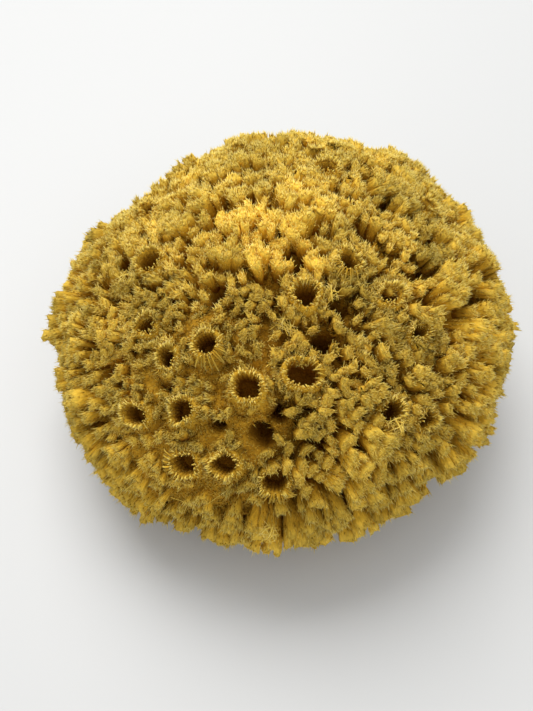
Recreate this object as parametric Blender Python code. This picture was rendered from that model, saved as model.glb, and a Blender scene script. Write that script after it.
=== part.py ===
"""A natural bath sponge, grown as one piece: a low dome of upright tufts and raised vents, cut flat underneath.

The frame is in metres with +Z up. The origin is the middle of the flat cut that the sponge rests on.
Lengths below are in millimetres, and MM turns them into metres where a mesh is made.
"""

import math

import bmesh
import bpy
import numpy as np

MM = 0.001

# The dome, measured to the tips of the tufts
HALF_WIDTH = 75.0
HALF_DEPTH = 73.5
HALF_HEIGHT = 50.0
CUT_BELOW_MIDDLE = 36.0
MIDDLE = np.array([-0.4, 1.9, CUT_BELOW_MIDDLE])

# Broad swells and hollows of the dome: azimuth and elevation in degrees, reach in degrees, height in mm
SWELLS = (
    (137.0, 15.0, 34.0, -4.5),
    (47.0, 20.0, 26.0, 2.5),
    (-51.0, -15.0, 9.0, -4.5),
    (193.0, -5.0, 7.0, -3.0),
    (39.0, 12.0, 8.0, -4.0),
    (-95.0, -15.0, 30.0, 2.5),
    (-137.0, -12.0, 19.0, 4.0),
    (-33.0, -10.0, 14.0, 3.0),
    (95.0, 5.0, 16.0, 1.0),
    (55.0, 5.0, 9.0, 2.5),
    (2.0, 0.0, 10.0, 1.5),
    (-68.0, 25.0, 12.0, 3.0),
    (-150.0, 75.0, 14.0, 2.0),
)

# Tufts
TUFT_PITCH = 8.2
TUFT_PITCH_UNDERNEATH = 9.2
PITCH_UNDER_THE_CUT = 14.0
TUFT_LENGTH = 11.5
TUFT_TOP_SHARE = 0.74
TUFT_CROWN = 2.6
TUFT_LEAN = 0.9
LENGTH_SPREAD = 3.6
TIP_RAGGEDNESS = 1.3
FADE_ABOVE_CUT = 13.0
CANDIDATES = 14000
SEED = 7

# The matted ground between the vents, where the tufts stay short: plan position, reach and tuft length in mm
MAT_AT = (-25.0, -48.0)
MAT_REACH = 27.0
MAT_TUFT_LENGTH = 5.5
MAT_SINK = 2.0

# Vents, each a short tube with an open mouth: plan position, radius of the mouth, radius outside, height over its foot
VENTS = (
    (-10.0, -46.0, 3.3, 5.9, 8.0),
    (-28.5, -49.5, 2.9, 5.9, 6.5),
    (-42.5, -47.5, 2.8, 5.2, 6.0),
    (-28.0, -60.5, 3.0, 5.4, 6.0),
    (-16.5, -62.0, 2.9, 5.2, 6.0),
    (-2.5, -66.5, 3.2, 5.7, 7.0),
    (5.0, -43.0, 3.9, 6.6, 9.0),
    (30.0, -49.5, 2.9, 5.2, 8.5),
    (42.0, -49.0, 2.2, 4.4, 8.5),
    (6.0, -21.0, 3.4, 5.8, 9.5),
    (19.0, -9.5, 2.8, 4.9, 9.5),
    (31.0, -18.5, 2.8, 5.0, 9.5),
    (-41.0, -4.0, 3.4, 5.6, 9.0),
    (-40.0, -25.5, 2.6, 5.0, 7.5),
    (-33.0, -36.0, 2.2, 4.6, 6.5),
    (-21.5, -34.5, 2.9, 5.3, 7.5),
    (40.0, -27.0, 2.0, 4.3, 8.5),
    (-46.0, 24.0, 2.8, 5.2, 9.0),
    (14.0, 31.0, 3.0, 5.4, 9.5),
    (45.0, 21.0, 2.7, 5.1, 9.5),
    (-15.0, 52.0, 2.6, 5.0, 9.5),
)
VENT_CLEARANCE = 4.0
VENT_LIP_DROP = 0.9
VENT_THROAT = 13.0
VENT_THROAT_SHARE = 0.72
VENT_UNEVENNESS = 0.09

# Deep gaps between the tufts: plan position and radius of the mouth
GAPS = (
    (-6.5, -56.5, 3.6),
    (-2.0, -51.5, 3.0),
    (-20.0, -53.5, 2.2),
    (-33.0, -41.5, 3.0),
    (12.5, -33.0, 3.2),
    (15.5, -21.5, 3.6),
    (4.0, -7.5, 3.4),
    (25.0, -17.0, 3.0),
    (30.0, -4.0, 3.2),
    (-19.0, -17.0, 3.0),
    (-34.0, -11.0, 2.8),
    (-18.5, 9.0, 3.6),
    (23.5, 5.0, 3.4),
    (42.0, -5.0, 3.2),
    (28.0, -58.5, 2.6),
    (9.0, -58.5, 2.4),
)
GAP_DEPTH = 13.0
GAP_BOTTOM_SHARE = 0.5
GAP_CLEARANCE = 4.6
GAP_LEDGE = 3.0

SHORTEST_EDGE = 0.7
SHARP_ANGLE = math.radians(48)
SPONGE_COLOUR = (0.63, 0.40, 0.075, 1.0)


def clear_scene():
    for thing in list(bpy.data.objects):
        bpy.data.objects.remove(thing)


def smooth_step(value):
    value = np.clip(value, 0.0, 1.0)
    return value * value * (3.0 - 2.0 * value)


def from_angles(azimuth, elevation):
    """The unit vector at an azimuth and elevation in degrees."""
    a, e = math.radians(azimuth), math.radians(elevation)
    return np.array([math.cos(a) * math.cos(e), math.sin(a) * math.cos(e), math.sin(e)])


def tip_point(way):
    """The point on the dome's outer surface, at the tips of the tufts, that a unit vector of the round form stands for."""
    point = way * np.array([HALF_WIDTH, HALF_DEPTH, HALF_HEIGHT])
    outward = point / np.linalg.norm(point)
    for azimuth, elevation, reach, height in SWELLS:
        away = math.degrees(math.acos(np.clip(outward @ from_angles(azimuth, elevation), -1.0, 1.0)))
        point = point + outward * height * math.exp(-((away / reach) ** 2))
    return MIDDLE + point


def outward_of(way):
    """The way a tuft grows there: square to the plain dome."""
    normal = way / np.array([HALF_WIDTH, HALF_DEPTH, HALF_HEIGHT])
    return normal / np.linalg.norm(normal)


def way_above(x, y):
    """The unit vector of the round form whose point on the upper dome is over this plan position."""
    across = np.array([(x - MIDDLE[0]) / HALF_WIDTH, (y - MIDDLE[1]) / HALF_DEPTH])
    return np.array([*across, math.sqrt(max(0.0, 1.0 - across @ across))])


def mat_share(point):
    """1 on the matted ground, 0 well away from it."""
    away = math.hypot(point[0] - MAT_AT[0], point[1] - MAT_AT[1])
    on_top = smooth_step((point[2] - MIDDLE[2] + 10.0) / 10.0)
    return float((1.0 - smooth_step((away - 0.7 * MAT_REACH) / (0.6 * MAT_REACH))) * on_top)


def tuft_length(way):
    """How far the tufts stand over the ground there. They fade away at the cut."""
    point = tip_point(way)
    length = TUFT_LENGTH + (MAT_TUFT_LENGTH - TUFT_LENGTH) * mat_share(point)
    return length * float(smooth_step(point[2] / FADE_ABOVE_CUT))


def at_depth(way, depth):
    """The point this deep under the tips, kept above the plane of the cut."""
    point = tip_point(way)
    point = point - outward_of(way) * (depth + MAT_SINK * mat_share(point))
    point[2] = max(point[2], 0.0)
    return point


def scatter():
    """Where each tuft, vent and gap stands, as unit vectors of the round form, with what it is."""
    draw = np.random.default_rng(SEED)
    sites = [("vent", way_above(*vent[:2]), vent) for vent in VENTS]
    sites += [("gap", way_above(*gap[:2]), gap) for gap in GAPS]
    ways = [way for _, way, _ in sites]
    points = [tip_point(way) for way in ways]
    reach = [vent[3] + VENT_CLEARANCE for vent in VENTS] + [gap[2] + GAP_CLEARANCE for gap in GAPS]
    halves = np.array([HALF_WIDTH, HALF_DEPTH, HALF_HEIGHT])
    ball = draw.normal(size=(CANDIDATES, 3))
    ball /= np.linalg.norm(ball, axis=1)[:, None]
    stretched = np.linalg.norm(ball / halves, axis=1)
    for way in ball[draw.random(CANDIDATES) < stretched / stretched.max()]:
        point = tip_point(way)
        pitch = TUFT_PITCH if point[2] > FADE_ABOVE_CUT else TUFT_PITCH_UNDERNEATH
        pitch = PITCH_UNDER_THE_CUT if point[2] < 0.0 else pitch
        away = np.linalg.norm(np.array(points) - point, axis=1)
        if (away < np.maximum(np.array(reach), pitch * (np.array(reach) == 0.0))).any():
            continue
        ways.append(way)
        points.append(point)
        reach.append(0.0)
        sites.append(("tuft" if point[2] > 0.0 else "cut", way, None))
    return sites


def cells_of(sites):
    """A closed mesh with one many-sided cell round each site, laid on the ground between the tufts."""
    hull = bmesh.new()
    for _, way, _ in sites:
        hull.verts.new(way)
    hull.verts.ensure_lookup_table()
    first = list(hull.verts)
    bmesh.ops.convex_hull(hull, input=hull.verts)
    bmesh.ops.recalc_face_normals(hull, faces=hull.faces)
    hull.faces.index_update()
    ground = bmesh.new()
    kinds = ground.faces.layers.int.new("site")
    ways = ground.verts.layers.float_vector.new("way")
    corners = []
    for face in hull.faces:
        way = np.array(face.normal)
        corners.append(ground.verts.new(at_depth(way, tuft_length(way)) * MM))
        corners[-1][ways] = way
    cells = []
    for vert in first:
        loop = vert.link_loops[0]
        around = []
        for _ in range(len(vert.link_faces)):
            around.append(corners[loop.face.index])
            loop = loop.link_loop_prev.link_loop_radial_next
        cells.append(ground.faces.new(around))
    hull.free()
    for number, cell in enumerate(cells):
        cell[kinds] = number
    bmesh.ops.recalc_face_normals(ground, faces=ground.faces)
    bmesh.ops.remove_doubles(ground, verts=ground.verts, dist=SHORTEST_EDGE * MM)
    return ground, kinds, ways


def raised(mesh, cell, place):
    """Extrudes one face and sends each new corner where place says. It returns the face at the end."""
    made = bmesh.ops.extrude_discrete_faces(mesh, faces=[cell])["faces"][0]
    for vert in made.verts:
        vert.co = place(vert) * MM
    return made


def grow_tuft(mesh, ways, cell, way, draw):
    """One tuft: its sides fan out from the ground to a ragged crown with a summit."""
    length = tuft_length(way)
    if length < 1.0:
        return
    outward = outward_of(way)
    share = length / TUFT_LENGTH
    lower = LENGTH_SPREAD * share * draw.random() ** 1.6 + 0.5 * TUFT_CROWN * share
    top = at_depth(way, lower)
    lean = np.cross(outward, draw.uniform(-1.0, 1.0, size=3)) * TUFT_LEAN * share

    def crown(corner):
        spread = (at_depth(np.array(corner[ways]), lower) - top) * TUFT_TOP_SHARE
        ragged = outward * TIP_RAGGEDNESS * share * (draw.random() - 0.8)
        return lifted(top + lean + spread + ragged)

    crowned = raised(mesh, cell, crown)
    summit = bmesh.ops.poke(mesh, faces=[crowned])["verts"][0]
    summit.co = lifted(top + lean + outward * TUFT_CROWN * share) * MM


def lifted(point):
    """A point kept above the plane of the cut."""
    point[2] = max(point[2], 0.0)
    return point


def ring_placer(centre, outward, radius, draw):
    """A function that sends a corner to an uneven circle round the axis, in its own direction from it."""

    def place(corner):
        away = np.array(corner.co) / MM - centre
        away = away - outward * (away @ outward)
        uneven = radius * (1.0 + VENT_UNEVENNESS * draw.uniform(-1.0, 1.0))
        lift = outward * radius * VENT_UNEVENNESS * draw.uniform(-1.0, 1.0)
        return centre + lift + away * (uneven / np.linalg.norm(away))

    return place


def open_vent(mesh, cell, way, vent, draw):
    """One vent: a tube with a rounded rim and a throat that goes down into the sponge."""
    _, _, mouth, outside, height = vent
    outward = outward_of(way)
    bmesh.ops.subdivide_edges(mesh, edges=cell.edges, cuts=1)
    foot = at_depth(way, tuft_length(way))
    rim = foot + outward * height
    rings = (
        (rim - outward * VENT_LIP_DROP, outside),
        (rim, 0.5 * (outside + mouth)),
        (rim - outward * VENT_LIP_DROP, mouth),
        (rim - outward * VENT_THROAT, mouth * VENT_THROAT_SHARE),
    )
    for centre, radius in rings:
        cell = raised(mesh, cell, ring_placer(centre, outward, radius, draw))


def sink_gap(mesh, cell, way, gap, draw):
    """One deep gap between tufts: a ledge, then a funnel that narrows downwards."""
    radius = gap[2]
    outward = outward_of(way)
    depth = tuft_length(way)
    ledge = at_depth(way, max(depth - GAP_LEDGE, 0.0))
    cell = raised(mesh, cell, ring_placer(ledge, outward, radius, draw))
    bottom = at_depth(way, depth) - outward * GAP_DEPTH
    raised(mesh, cell, ring_placer(bottom, outward, radius * GAP_BOTTOM_SHARE, draw))


def in_the_cut(face):
    """Whether a face lies in the plane of the cut."""
    return all(abs(vert.co.z) < 1e-4 * MM for vert in face.verts)


def flatten_cut(mesh):
    """Makes the many faces that lie in the plane of the cut into one."""
    inner = [edge for edge in mesh.edges if all(in_the_cut(face) for face in edge.link_faces)]
    bmesh.ops.dissolve_edges(mesh, edges=inner, use_verts=True)


def shade(mesh):
    """Rounds the tufts' shading, and keeps the rim of the cut and every steep edge sharp."""
    for face in mesh.faces:
        face.smooth = True
    for edge in mesh.edges:
        rim = sum(in_the_cut(face) for face in edge.link_faces) == 1
        edge.smooth = not rim and edge.calc_face_angle(0.0) < SHARP_ANGLE


def sponge_mesh():
    """The whole sponge as one closed body."""
    sites = scatter()
    mesh, kinds, ways = cells_of(sites)
    draw = np.random.default_rng(SEED + 1)
    cells = sorted(mesh.faces, key=lambda face: face[kinds])
    numbers = [cell[kinds] for cell in cells]
    for cell, number in zip(cells, numbers):
        kind, way, size = sites[number]
        if kind == "tuft":
            grow_tuft(mesh, ways, cell, way, draw)
        elif kind == "vent":
            open_vent(mesh, cell, way, size, draw)
        elif kind == "gap":
            sink_gap(mesh, cell, way, size, draw)
    flatten_cut(mesh)
    bmesh.ops.triangulate(mesh, faces=mesh.faces)
    bmesh.ops.recalc_face_normals(mesh, faces=mesh.faces)
    shade(mesh)
    return mesh


def sponge_material():
    material = bpy.data.materials.new("sponge_fibre")
    material.use_nodes = True
    shader = material.node_tree.nodes["Principled BSDF"]
    shader.inputs["Base Color"].default_value = SPONGE_COLOUR
    shader.inputs["Roughness"].default_value = 0.9
    shader.inputs["Metallic"].default_value = 0.0
    return material


def main():
    clear_scene()
    mesh = sponge_mesh()
    data = bpy.data.meshes.new("sponge")
    mesh.to_mesh(data)
    mesh.free()
    data.materials.append(sponge_material())
    sponge = bpy.data.objects.new("sponge", data)
    bpy.context.scene.collection.objects.link(sponge)


main()
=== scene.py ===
"""The looks of the bath sponge: its ground, tufts, fibres, vents and flat cut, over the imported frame.

Lengths are in millimetres until a mesh is made. A "way" is a unit vector of the round form that the dome is
pressed from, and stands for one place on it.
"""

import logging
import math
from collections.abc import Iterator
from dataclasses import dataclass, field
from enum import Enum
from typing import ClassVar

import bpy
import numpy as np
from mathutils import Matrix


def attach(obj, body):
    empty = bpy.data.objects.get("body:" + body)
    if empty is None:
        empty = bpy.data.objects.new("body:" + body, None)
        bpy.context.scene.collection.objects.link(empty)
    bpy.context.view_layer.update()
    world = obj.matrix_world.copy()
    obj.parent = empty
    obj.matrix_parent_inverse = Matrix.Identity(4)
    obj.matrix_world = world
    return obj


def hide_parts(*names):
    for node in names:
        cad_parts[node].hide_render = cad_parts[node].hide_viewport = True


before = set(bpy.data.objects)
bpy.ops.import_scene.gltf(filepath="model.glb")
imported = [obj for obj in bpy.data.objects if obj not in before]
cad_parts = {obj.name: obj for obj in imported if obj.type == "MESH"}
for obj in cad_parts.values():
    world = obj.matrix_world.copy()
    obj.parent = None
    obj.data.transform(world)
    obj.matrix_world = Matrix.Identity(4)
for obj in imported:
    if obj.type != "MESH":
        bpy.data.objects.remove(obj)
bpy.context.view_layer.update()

Array = np.ndarray
MM = 0.001
GOLDEN_ANGLE = 2.399
FULL_TURN = 2.0 * math.pi
BODY = "root"
NODE = "sponge"
TUFT_FIBRE_PIECES = 5
log = logging.getLogger("sponge")


def smooth_step(value: Array) -> Array:
    """Eases from 0 to 1 as the value does."""
    value = np.clip(value, 0.0, 1.0)
    return value * value * (3.0 - 2.0 * value)


def unit(vectors: Array) -> Array:
    """The vectors at length 1."""
    return vectors / np.maximum(np.linalg.norm(vectors, axis=-1, keepdims=True), 1e-9)


def flattened(vectors: Array, axes: Array) -> Array:
    """Each vector without its part along its own axis."""
    return vectors - axes * (vectors * axes).sum(axis=-1, keepdims=True)


def square_to(axes: Array) -> tuple[Array, Array]:
    """Two unit vectors square to each axis and to each other.

    Args:
        axes: Unit vectors, one a row.

    Returns:
        The pair, so that the first cross the second is the axis.
    """
    helper = np.where(np.abs(axes[:, 2:3]) < 0.9, [[0.0, 0.0, 1.0]], [[1.0, 0.0, 0.0]])
    first = unit(np.cross(helper, axes))
    return first, np.cross(axes, first)


@dataclass(frozen=True)
class Swell:
    """A broad swell or hollow of the dome: where it is and how far it reaches, in degrees, and its height."""

    azimuth: float
    elevation: float
    reach: float
    height: float

    def at(self, points: Array) -> Array:
        """How high the swell stands at each place.

        Args:
            points: Points from the middle of the dome, one a row.

        Returns:
            One height for each point.
        """
        a, e = math.radians(self.azimuth), math.radians(self.elevation)
        towards = np.array([math.cos(a) * math.cos(e), math.sin(a) * math.cos(e), math.sin(e)])
        away = np.degrees(np.arccos(np.clip(unit(points) @ towards, -1.0, 1.0)))
        return self.height * np.exp(-((away / self.reach) ** 2))


@dataclass(frozen=True)
class Vent:
    """A short tube with an open mouth: plan position, radii of mouth and outside, height over its foot."""

    x: float
    y: float
    mouth: float
    outside: float
    height: float


@dataclass(frozen=True)
class Gap:
    """A deep gap between the tufts: plan position and radius of its mouth."""

    x: float
    y: float
    radius: float


@dataclass(frozen=True)
class Dome:
    """The form of the sponge, measured to the tips of its tufts."""

    halves: tuple[float, float, float] = (75.0, 73.5, 50.0)
    middle: tuple[float, float, float] = (-0.4, 1.9, 36.0)
    tuft_length: float = 11.5
    fade_above_cut: float = 13.0
    mat_at: tuple[float, float] = (-25.0, -48.0)
    mat_reach: float = 27.0
    mat_core: float = 0.7
    mat_fade: float = 0.6
    mat_below: float = 10.0
    mat_tuft_length: float = 5.5
    mat_sink: float = 2.0
    swells: tuple[Swell, ...] = (
        Swell(137.0, 15.0, 34.0, -4.5),
        Swell(47.0, 20.0, 26.0, 2.5),
        Swell(-51.0, -15.0, 9.0, -4.5),
        Swell(193.0, -5.0, 7.0, -3.0),
        Swell(39.0, 12.0, 8.0, -4.0),
        Swell(-95.0, -15.0, 30.0, 2.5),
        Swell(-137.0, -12.0, 19.0, 4.0),
        Swell(-33.0, -10.0, 14.0, 3.0),
        Swell(95.0, 5.0, 16.0, 1.0),
        Swell(55.0, 5.0, 9.0, 2.5),
        Swell(2.0, 0.0, 10.0, 1.5),
        Swell(-68.0, 25.0, 12.0, 3.0),
        Swell(-150.0, 75.0, 14.0, 2.0),
    )

    def tips(self, ways: Array) -> Array:
        """The points at the tips of the tufts.

        Args:
            ways: Unit vectors, one a row.

        Returns:
            One point a row.
        """
        points = ways * np.array(self.halves)
        outward = unit(points)
        for swell in self.swells:
            points = points + outward * swell.at(points)[:, None]
        return points + np.array(self.middle)

    def outward(self, ways: Array) -> Array:
        """The way a tuft grows at each place: square to the plain dome."""
        return unit(ways / np.array(self.halves))

    def above(self, plan: Array) -> Array:
        """The ways of the places on the upper dome over some plan positions.

        Args:
            plan: One x and y a row.

        Returns:
            One unit vector a row.
        """
        across = (plan - np.array(self.middle[:2])) / np.array(self.halves[:2])
        return np.column_stack([across, np.sqrt(np.maximum(0.0, 1.0 - (across**2).sum(axis=1)))])

    def mat_share(self, tips: Array) -> Array:
        """How matted the ground is at each place.

        Args:
            tips: Points at the tips of the tufts.

        Returns:
            Shares, 1 on the matted ground between the vents and 0 well away from it.
        """
        away = np.hypot(tips[:, 0] - self.mat_at[0], tips[:, 1] - self.mat_at[1])
        on_top = smooth_step((tips[:, 2] - self.middle[2] + self.mat_below) / self.mat_below)
        faded = smooth_step((away - self.mat_core * self.mat_reach) / (self.mat_fade * self.mat_reach))
        return (1.0 - faded) * on_top

    def lengths(self, ways: Array) -> Array:
        """How far the tufts stand over the ground. They fade away at the cut.

        Args:
            ways: Unit vectors, one a row.

        Returns:
            One length for each.
        """
        tips = self.tips(ways)
        full = self.tuft_length + (self.mat_tuft_length - self.tuft_length) * self.mat_share(tips)
        return full * smooth_step(tips[:, 2] / self.fade_above_cut)

    def at_depth(self, ways: Array, depth: Array) -> Array:
        """The points this deep under the tips, kept above the plane of the cut.

        Args:
            ways: Unit vectors, one a row.
            depth: One depth for each.

        Returns:
            One point a row.
        """
        tips = self.tips(ways)
        sunk = np.asarray(depth) + self.mat_sink * self.mat_share(tips)
        points = tips - self.outward(ways) * np.reshape(sunk, (-1, 1))
        points[:, 2] = np.maximum(points[:, 2], 0.0)
        return points

    def scattered(self, draw: np.random.Generator, count: int) -> Array:
        """Random places, spread evenly over the dome.

        Args:
            draw: For the random draws.
            count: How many are drawn before the flat parts are thinned out.

        Returns:
            Unit vectors, one a row.
        """
        ball = unit(draw.normal(size=(count, 3)))
        stretched = np.linalg.norm(ball / np.array(self.halves), axis=1)
        return ball[draw.random(count) < stretched / stretched.max()]


@dataclass(frozen=True)
class Shade:
    """How much painted shade the colour gets at the tufts' feet: most among the vents, less on the crest and
    behind it, where the light falls.
    """

    everywhere: float = 0.42
    darker: float = 0.54
    dark_at: tuple[float, float] = (10.0, -28.0)
    dark_reach: float = 36.0
    # Painted light: how much less painted shade there is on the crest and behind it.
    lighter: float = 0.3
    crest_at: tuple[float, float] = (-6.0, 1.0)
    crest_reach: float = 15.0
    behind: float = 0.8
    behind_from: float = 5.0
    behind_over: float = 35.0

    def at(self, points: Array) -> Array:
        """The painted shade under some points.

        Args:
            points: Points, one a row.

        Returns:
            Shares from 0 to 1.
        """
        away = np.hypot(points[:, 0] - self.dark_at[0], points[:, 1] - self.dark_at[1])
        off_crest = np.hypot(points[:, 0] - self.crest_at[0], points[:, 1] - self.crest_at[1])
        crest = np.exp(-((off_crest / self.crest_reach) ** 2))
        behind = self.behind * smooth_step((points[:, 1] - self.behind_from) / self.behind_over)
        dark = self.everywhere + self.darker * np.exp(-((away / self.dark_reach) ** 2))
        return dark - self.lighter * np.maximum(crest, behind)


class Kind(Enum):
    """What stands at a site of the layout."""

    TUFT = "tuft"
    VENT = "vent"
    GAP = "gap"
    CUT = "cut"


@dataclass
class Layout:
    """Where each tuft, vent and gap stands, spaced so that none crowds its neighbours."""

    dome: Dome
    pitch: float = 8.2
    pitch_underneath: float = 9.2
    pitch_under_the_cut: float = 14.0
    vent_clearance: float = 4.0
    gap_clearance: float = 4.6
    candidates: int = 14000
    seed: int = 7
    vents: tuple[Vent, ...] = (
        Vent(-10.0, -46.0, 3.3, 5.9, 8.0),
        Vent(-28.5, -49.5, 2.9, 5.9, 6.5),
        Vent(-42.5, -47.5, 2.8, 5.2, 6.0),
        Vent(-28.0, -60.5, 3.0, 5.4, 6.0),
        Vent(-16.5, -62.0, 2.9, 5.2, 6.0),
        Vent(-2.5, -66.5, 3.2, 5.7, 7.0),
        Vent(5.0, -43.0, 3.9, 6.6, 9.0),
        Vent(30.0, -49.5, 2.9, 5.2, 8.5),
        Vent(42.0, -49.0, 2.2, 4.4, 8.5),
        Vent(6.0, -21.0, 3.4, 5.8, 9.5),
        Vent(19.0, -9.5, 2.8, 4.9, 9.5),
        Vent(31.0, -18.5, 2.8, 5.0, 9.5),
        Vent(-41.0, -4.0, 3.4, 5.6, 9.0),
        Vent(-40.0, -25.5, 2.6, 5.0, 7.5),
        Vent(-33.0, -36.0, 2.2, 4.6, 6.5),
        Vent(-21.5, -34.5, 2.9, 5.3, 7.5),
        Vent(40.0, -27.0, 2.0, 4.3, 8.5),
        Vent(-46.0, 24.0, 2.8, 5.2, 9.0),
        Vent(14.0, 31.0, 3.0, 5.4, 9.5),
        Vent(45.0, 21.0, 2.7, 5.1, 9.5),
        Vent(-15.0, 52.0, 2.6, 5.0, 9.5),
    )
    gaps: tuple[Gap, ...] = (
        Gap(-6.5, -56.5, 3.6),
        Gap(-2.0, -51.5, 3.0),
        Gap(-20.0, -53.5, 2.2),
        Gap(-33.0, -41.5, 3.0),
        Gap(12.5, -33.0, 3.2),
        Gap(15.5, -21.5, 3.6),
        Gap(4.0, -7.5, 3.4),
        Gap(25.0, -17.0, 3.0),
        Gap(30.0, -4.0, 3.2),
        Gap(-19.0, -17.0, 3.0),
        Gap(-34.0, -11.0, 2.8),
        Gap(-18.5, 9.0, 3.6),
        Gap(23.5, 5.0, 3.4),
        Gap(42.0, -5.0, 3.2),
        Gap(28.0, -58.5, 2.6),
        Gap(9.0, -58.5, 2.4),
    )
    ways: Array = field(init=False)
    kinds: list[Kind] = field(init=False)

    def __post_init__(self) -> None:
        """Places the vents and gaps first, and then tufts wherever there is room."""
        draw = np.random.default_rng(self.seed)
        dome = self.dome
        named = np.array([[v.x, v.y] for v in self.vents] + [[g.x, g.y] for g in self.gaps])
        ways = list(dome.above(named))
        points = list(dome.tips(np.array(ways)))
        reach = [v.outside + self.vent_clearance for v in self.vents]
        reach += [g.radius + self.gap_clearance for g in self.gaps]
        kinds = [Kind.VENT] * len(self.vents) + [Kind.GAP] * len(self.gaps)
        ball = dome.scattered(draw, self.candidates)
        for way, point in zip(ball, dome.tips(ball)):
            pitch = self.pitch if point[2] > dome.fade_above_cut else self.pitch_underneath
            pitch = self.pitch_under_the_cut if point[2] < 0.0 else pitch
            held = np.array(reach)
            away = np.linalg.norm(np.array(points) - point, axis=1)
            if (away < np.where(held == 0.0, pitch, held)).any():
                continue
            ways.append(way)
            points.append(point)
            reach.append(0.0)
            kinds.append(Kind.TUFT if point[2] > 0.0 else Kind.CUT)
        self.ways = np.array(ways)
        self.kinds = kinds

    def of(self, kind: Kind) -> Array:
        """The ways of the sites of one kind."""
        return self.ways[[k is kind for k in self.kinds]]

    def openings(self, kind: Kind) -> Iterator[tuple[Array, float]]:
        """Each vent or gap as the point over it and its radius outside."""
        sizes = [v.outside for v in self.vents] if kind is Kind.VENT else [g.radius for g in self.gaps]
        return zip(self.dome.tips(self.of(kind)), sizes)

    def axes(self, kind: Kind, upright: float) -> tuple[Array, Array]:
        """The foot and the axis of each vent or gap.

        Args:
            kind: Which kind of site.
            upright: How far the axis turns from the dome's outward way towards straight up, from 0 to 1.

        Returns:
            The feet on the ground, and unit vectors.
        """
        ways = self.of(kind)
        feet = self.dome.at_depth(ways, self.dome.lengths(ways))
        return feet, unit(self.dome.outward(ways) * (1.0 - upright) + np.array([0.0, 0.0, upright]))


@dataclass
class Strands:
    """Fine fibres as arrays, one row each, ready to be joined into meshes."""

    roots: Array
    tips: Array
    widths: Array
    bends: Array
    tones: Array
    depths: Array
    starts: Array

    NAMES: ClassVar[tuple[str, ...]] = ("roots", "tips", "widths", "bends", "tones", "depths", "starts")

    def __len__(self) -> int:
        """How many fibres there are."""
        return len(self.roots)

    def pick(self, rows: Array) -> "Strands":
        """The chosen rows."""
        return Strands(*[getattr(self, n)[rows] for n in self.NAMES])

    def clear_of_the_floor(self, least: float = 0.15) -> "Strands":
        """The fibres whose ends are all above the plane of the cut."""
        return self.pick((self.roots[:, 2] > least) & (self.tips[:, 2] > least))

    @staticmethod
    def joined(groups: list["Strands"]) -> "Strands":
        """Several sets as one."""
        return Strands(*[np.concatenate([getattr(g, n) for g in groups]) for n in Strands.NAMES])


@dataclass(frozen=True)
class SpikeForm:
    """How one fibre is meshed: rings of three points, then a tip, with a cap at the root."""

    rings: int = 1
    thinner: float = 0.55
    margin: float = 0.08

    @property
    def points(self) -> int:
        """Vertices in one fibre."""
        return 3 * self.rings + 1

    def triangles(self) -> Array:
        """The triangles of one fibre, facing outwards.

        Returns:
            Vertex numbers, three a row.
        """
        faces = [(2, 1, 0)]
        for ring in range(self.rings - 1):
            low, high = 3 * ring, 3 * ring + 3
            for k in range(3):
                n = (k + 1) % 3
                faces += [(low + k, low + n, high + n), (low + k, high + n, high + k)]
        last = 3 * self.rings - 3
        faces += [(last + k, last + (k + 1) % 3, 3 * self.rings) for k in range(3)]
        return np.array(faces)

    def flat_places(self) -> Array:
        """Where each corner of each triangle goes in the fibre's own cell of the texture.

        Returns:
            Places from 0 to 1, in the order of the triangles' corners.
        """
        places = []
        for face in self.triangles():
            if tuple(face) == (2, 1, 0):
                places += [(0.1, 0.02), (0.5, 0.08), (0.9, 0.02)]
                continue
            first = min(v % 3 for v in face if v < 3 * self.rings)
            wraps = {v % 3 for v in face if v < 3 * self.rings} == {0, 2}
            for v in face:
                if v == 3 * self.rings:
                    places.append((((2 if wraps else first) + 0.5) / 3.0, 0.97))
                    continue
                across = 3 if wraps and v % 3 == 0 else v % 3
                places.append((across / 3.0, 0.12 + 0.85 * (v // 3) / self.rings))
        return np.array(places) * (1.0 - 2.0 * self.margin) + self.margin

    def build(self, strands: Strands) -> tuple[Array, Array]:
        """The vertices of all the fibres, and how far along its own fibre each is.

        Args:
            strands: The fibres.

        Returns:
            Points and shares from 0 at the root to 1 at the tip.
        """
        whole = strands.tips - strands.roots
        u, v = square_to(unit(whole))
        turn = np.arange(3) * (FULL_TURN / 3.0)
        spin = (np.arange(len(strands)) * GOLDEN_ANGLE)[:, None] + turn
        around = np.cos(spin)[..., None] * u[:, None] + np.sin(spin)[..., None] * v[:, None]
        points = np.empty((len(strands), self.points, 3))
        along = np.empty(self.points)
        for ring in range(self.rings):
            share = ring / self.rings
            centre = strands.roots + whole * share + strands.bends * 4.0 * share * (1.0 - share)
            radius = 0.5 * strands.widths * (1.0 - self.thinner * share)
            points[:, 3 * ring : 3 * ring + 3] = centre[:, None] + around * radius[:, None, None]
            along[3 * ring : 3 * ring + 3] = share
        points[:, -1] = strands.tips
        along[-1] = 1.0
        return points.reshape(-1, 3), np.tile(along, len(strands))


def keep_values(mesh: bpy.types.Mesh, shares: dict[str, Array]) -> None:
    """Keeps named values on a mesh, one for each vertex, for the finish to read."""
    for key, values in shares.items():
        mesh.attributes.new(key, "FLOAT", "POINT").data.foreach_set("value", values.astype(np.float32))


def tube_faces(sides: int, rings: int) -> Array:
    """The triangles of one closed tube, facing outwards. Its last two vertices are its foot and its end.

    Args:
        sides: How many vertices a ring has.
        rings: How many rings there are.

    Returns:
        Vertex numbers, three a row.
    """
    made = []
    last = (rings - 1) * sides
    for k in range(sides):
        n = (k + 1) % sides
        made += [(n, k, last + sides), (last + k, last + n, last + sides + 1)]
        for low in range(0, last, sides):
            made += [(low + k, low + n, low + sides + n), (low + k, low + sides + n, low + sides + k)]
    return np.array(made)


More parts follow.
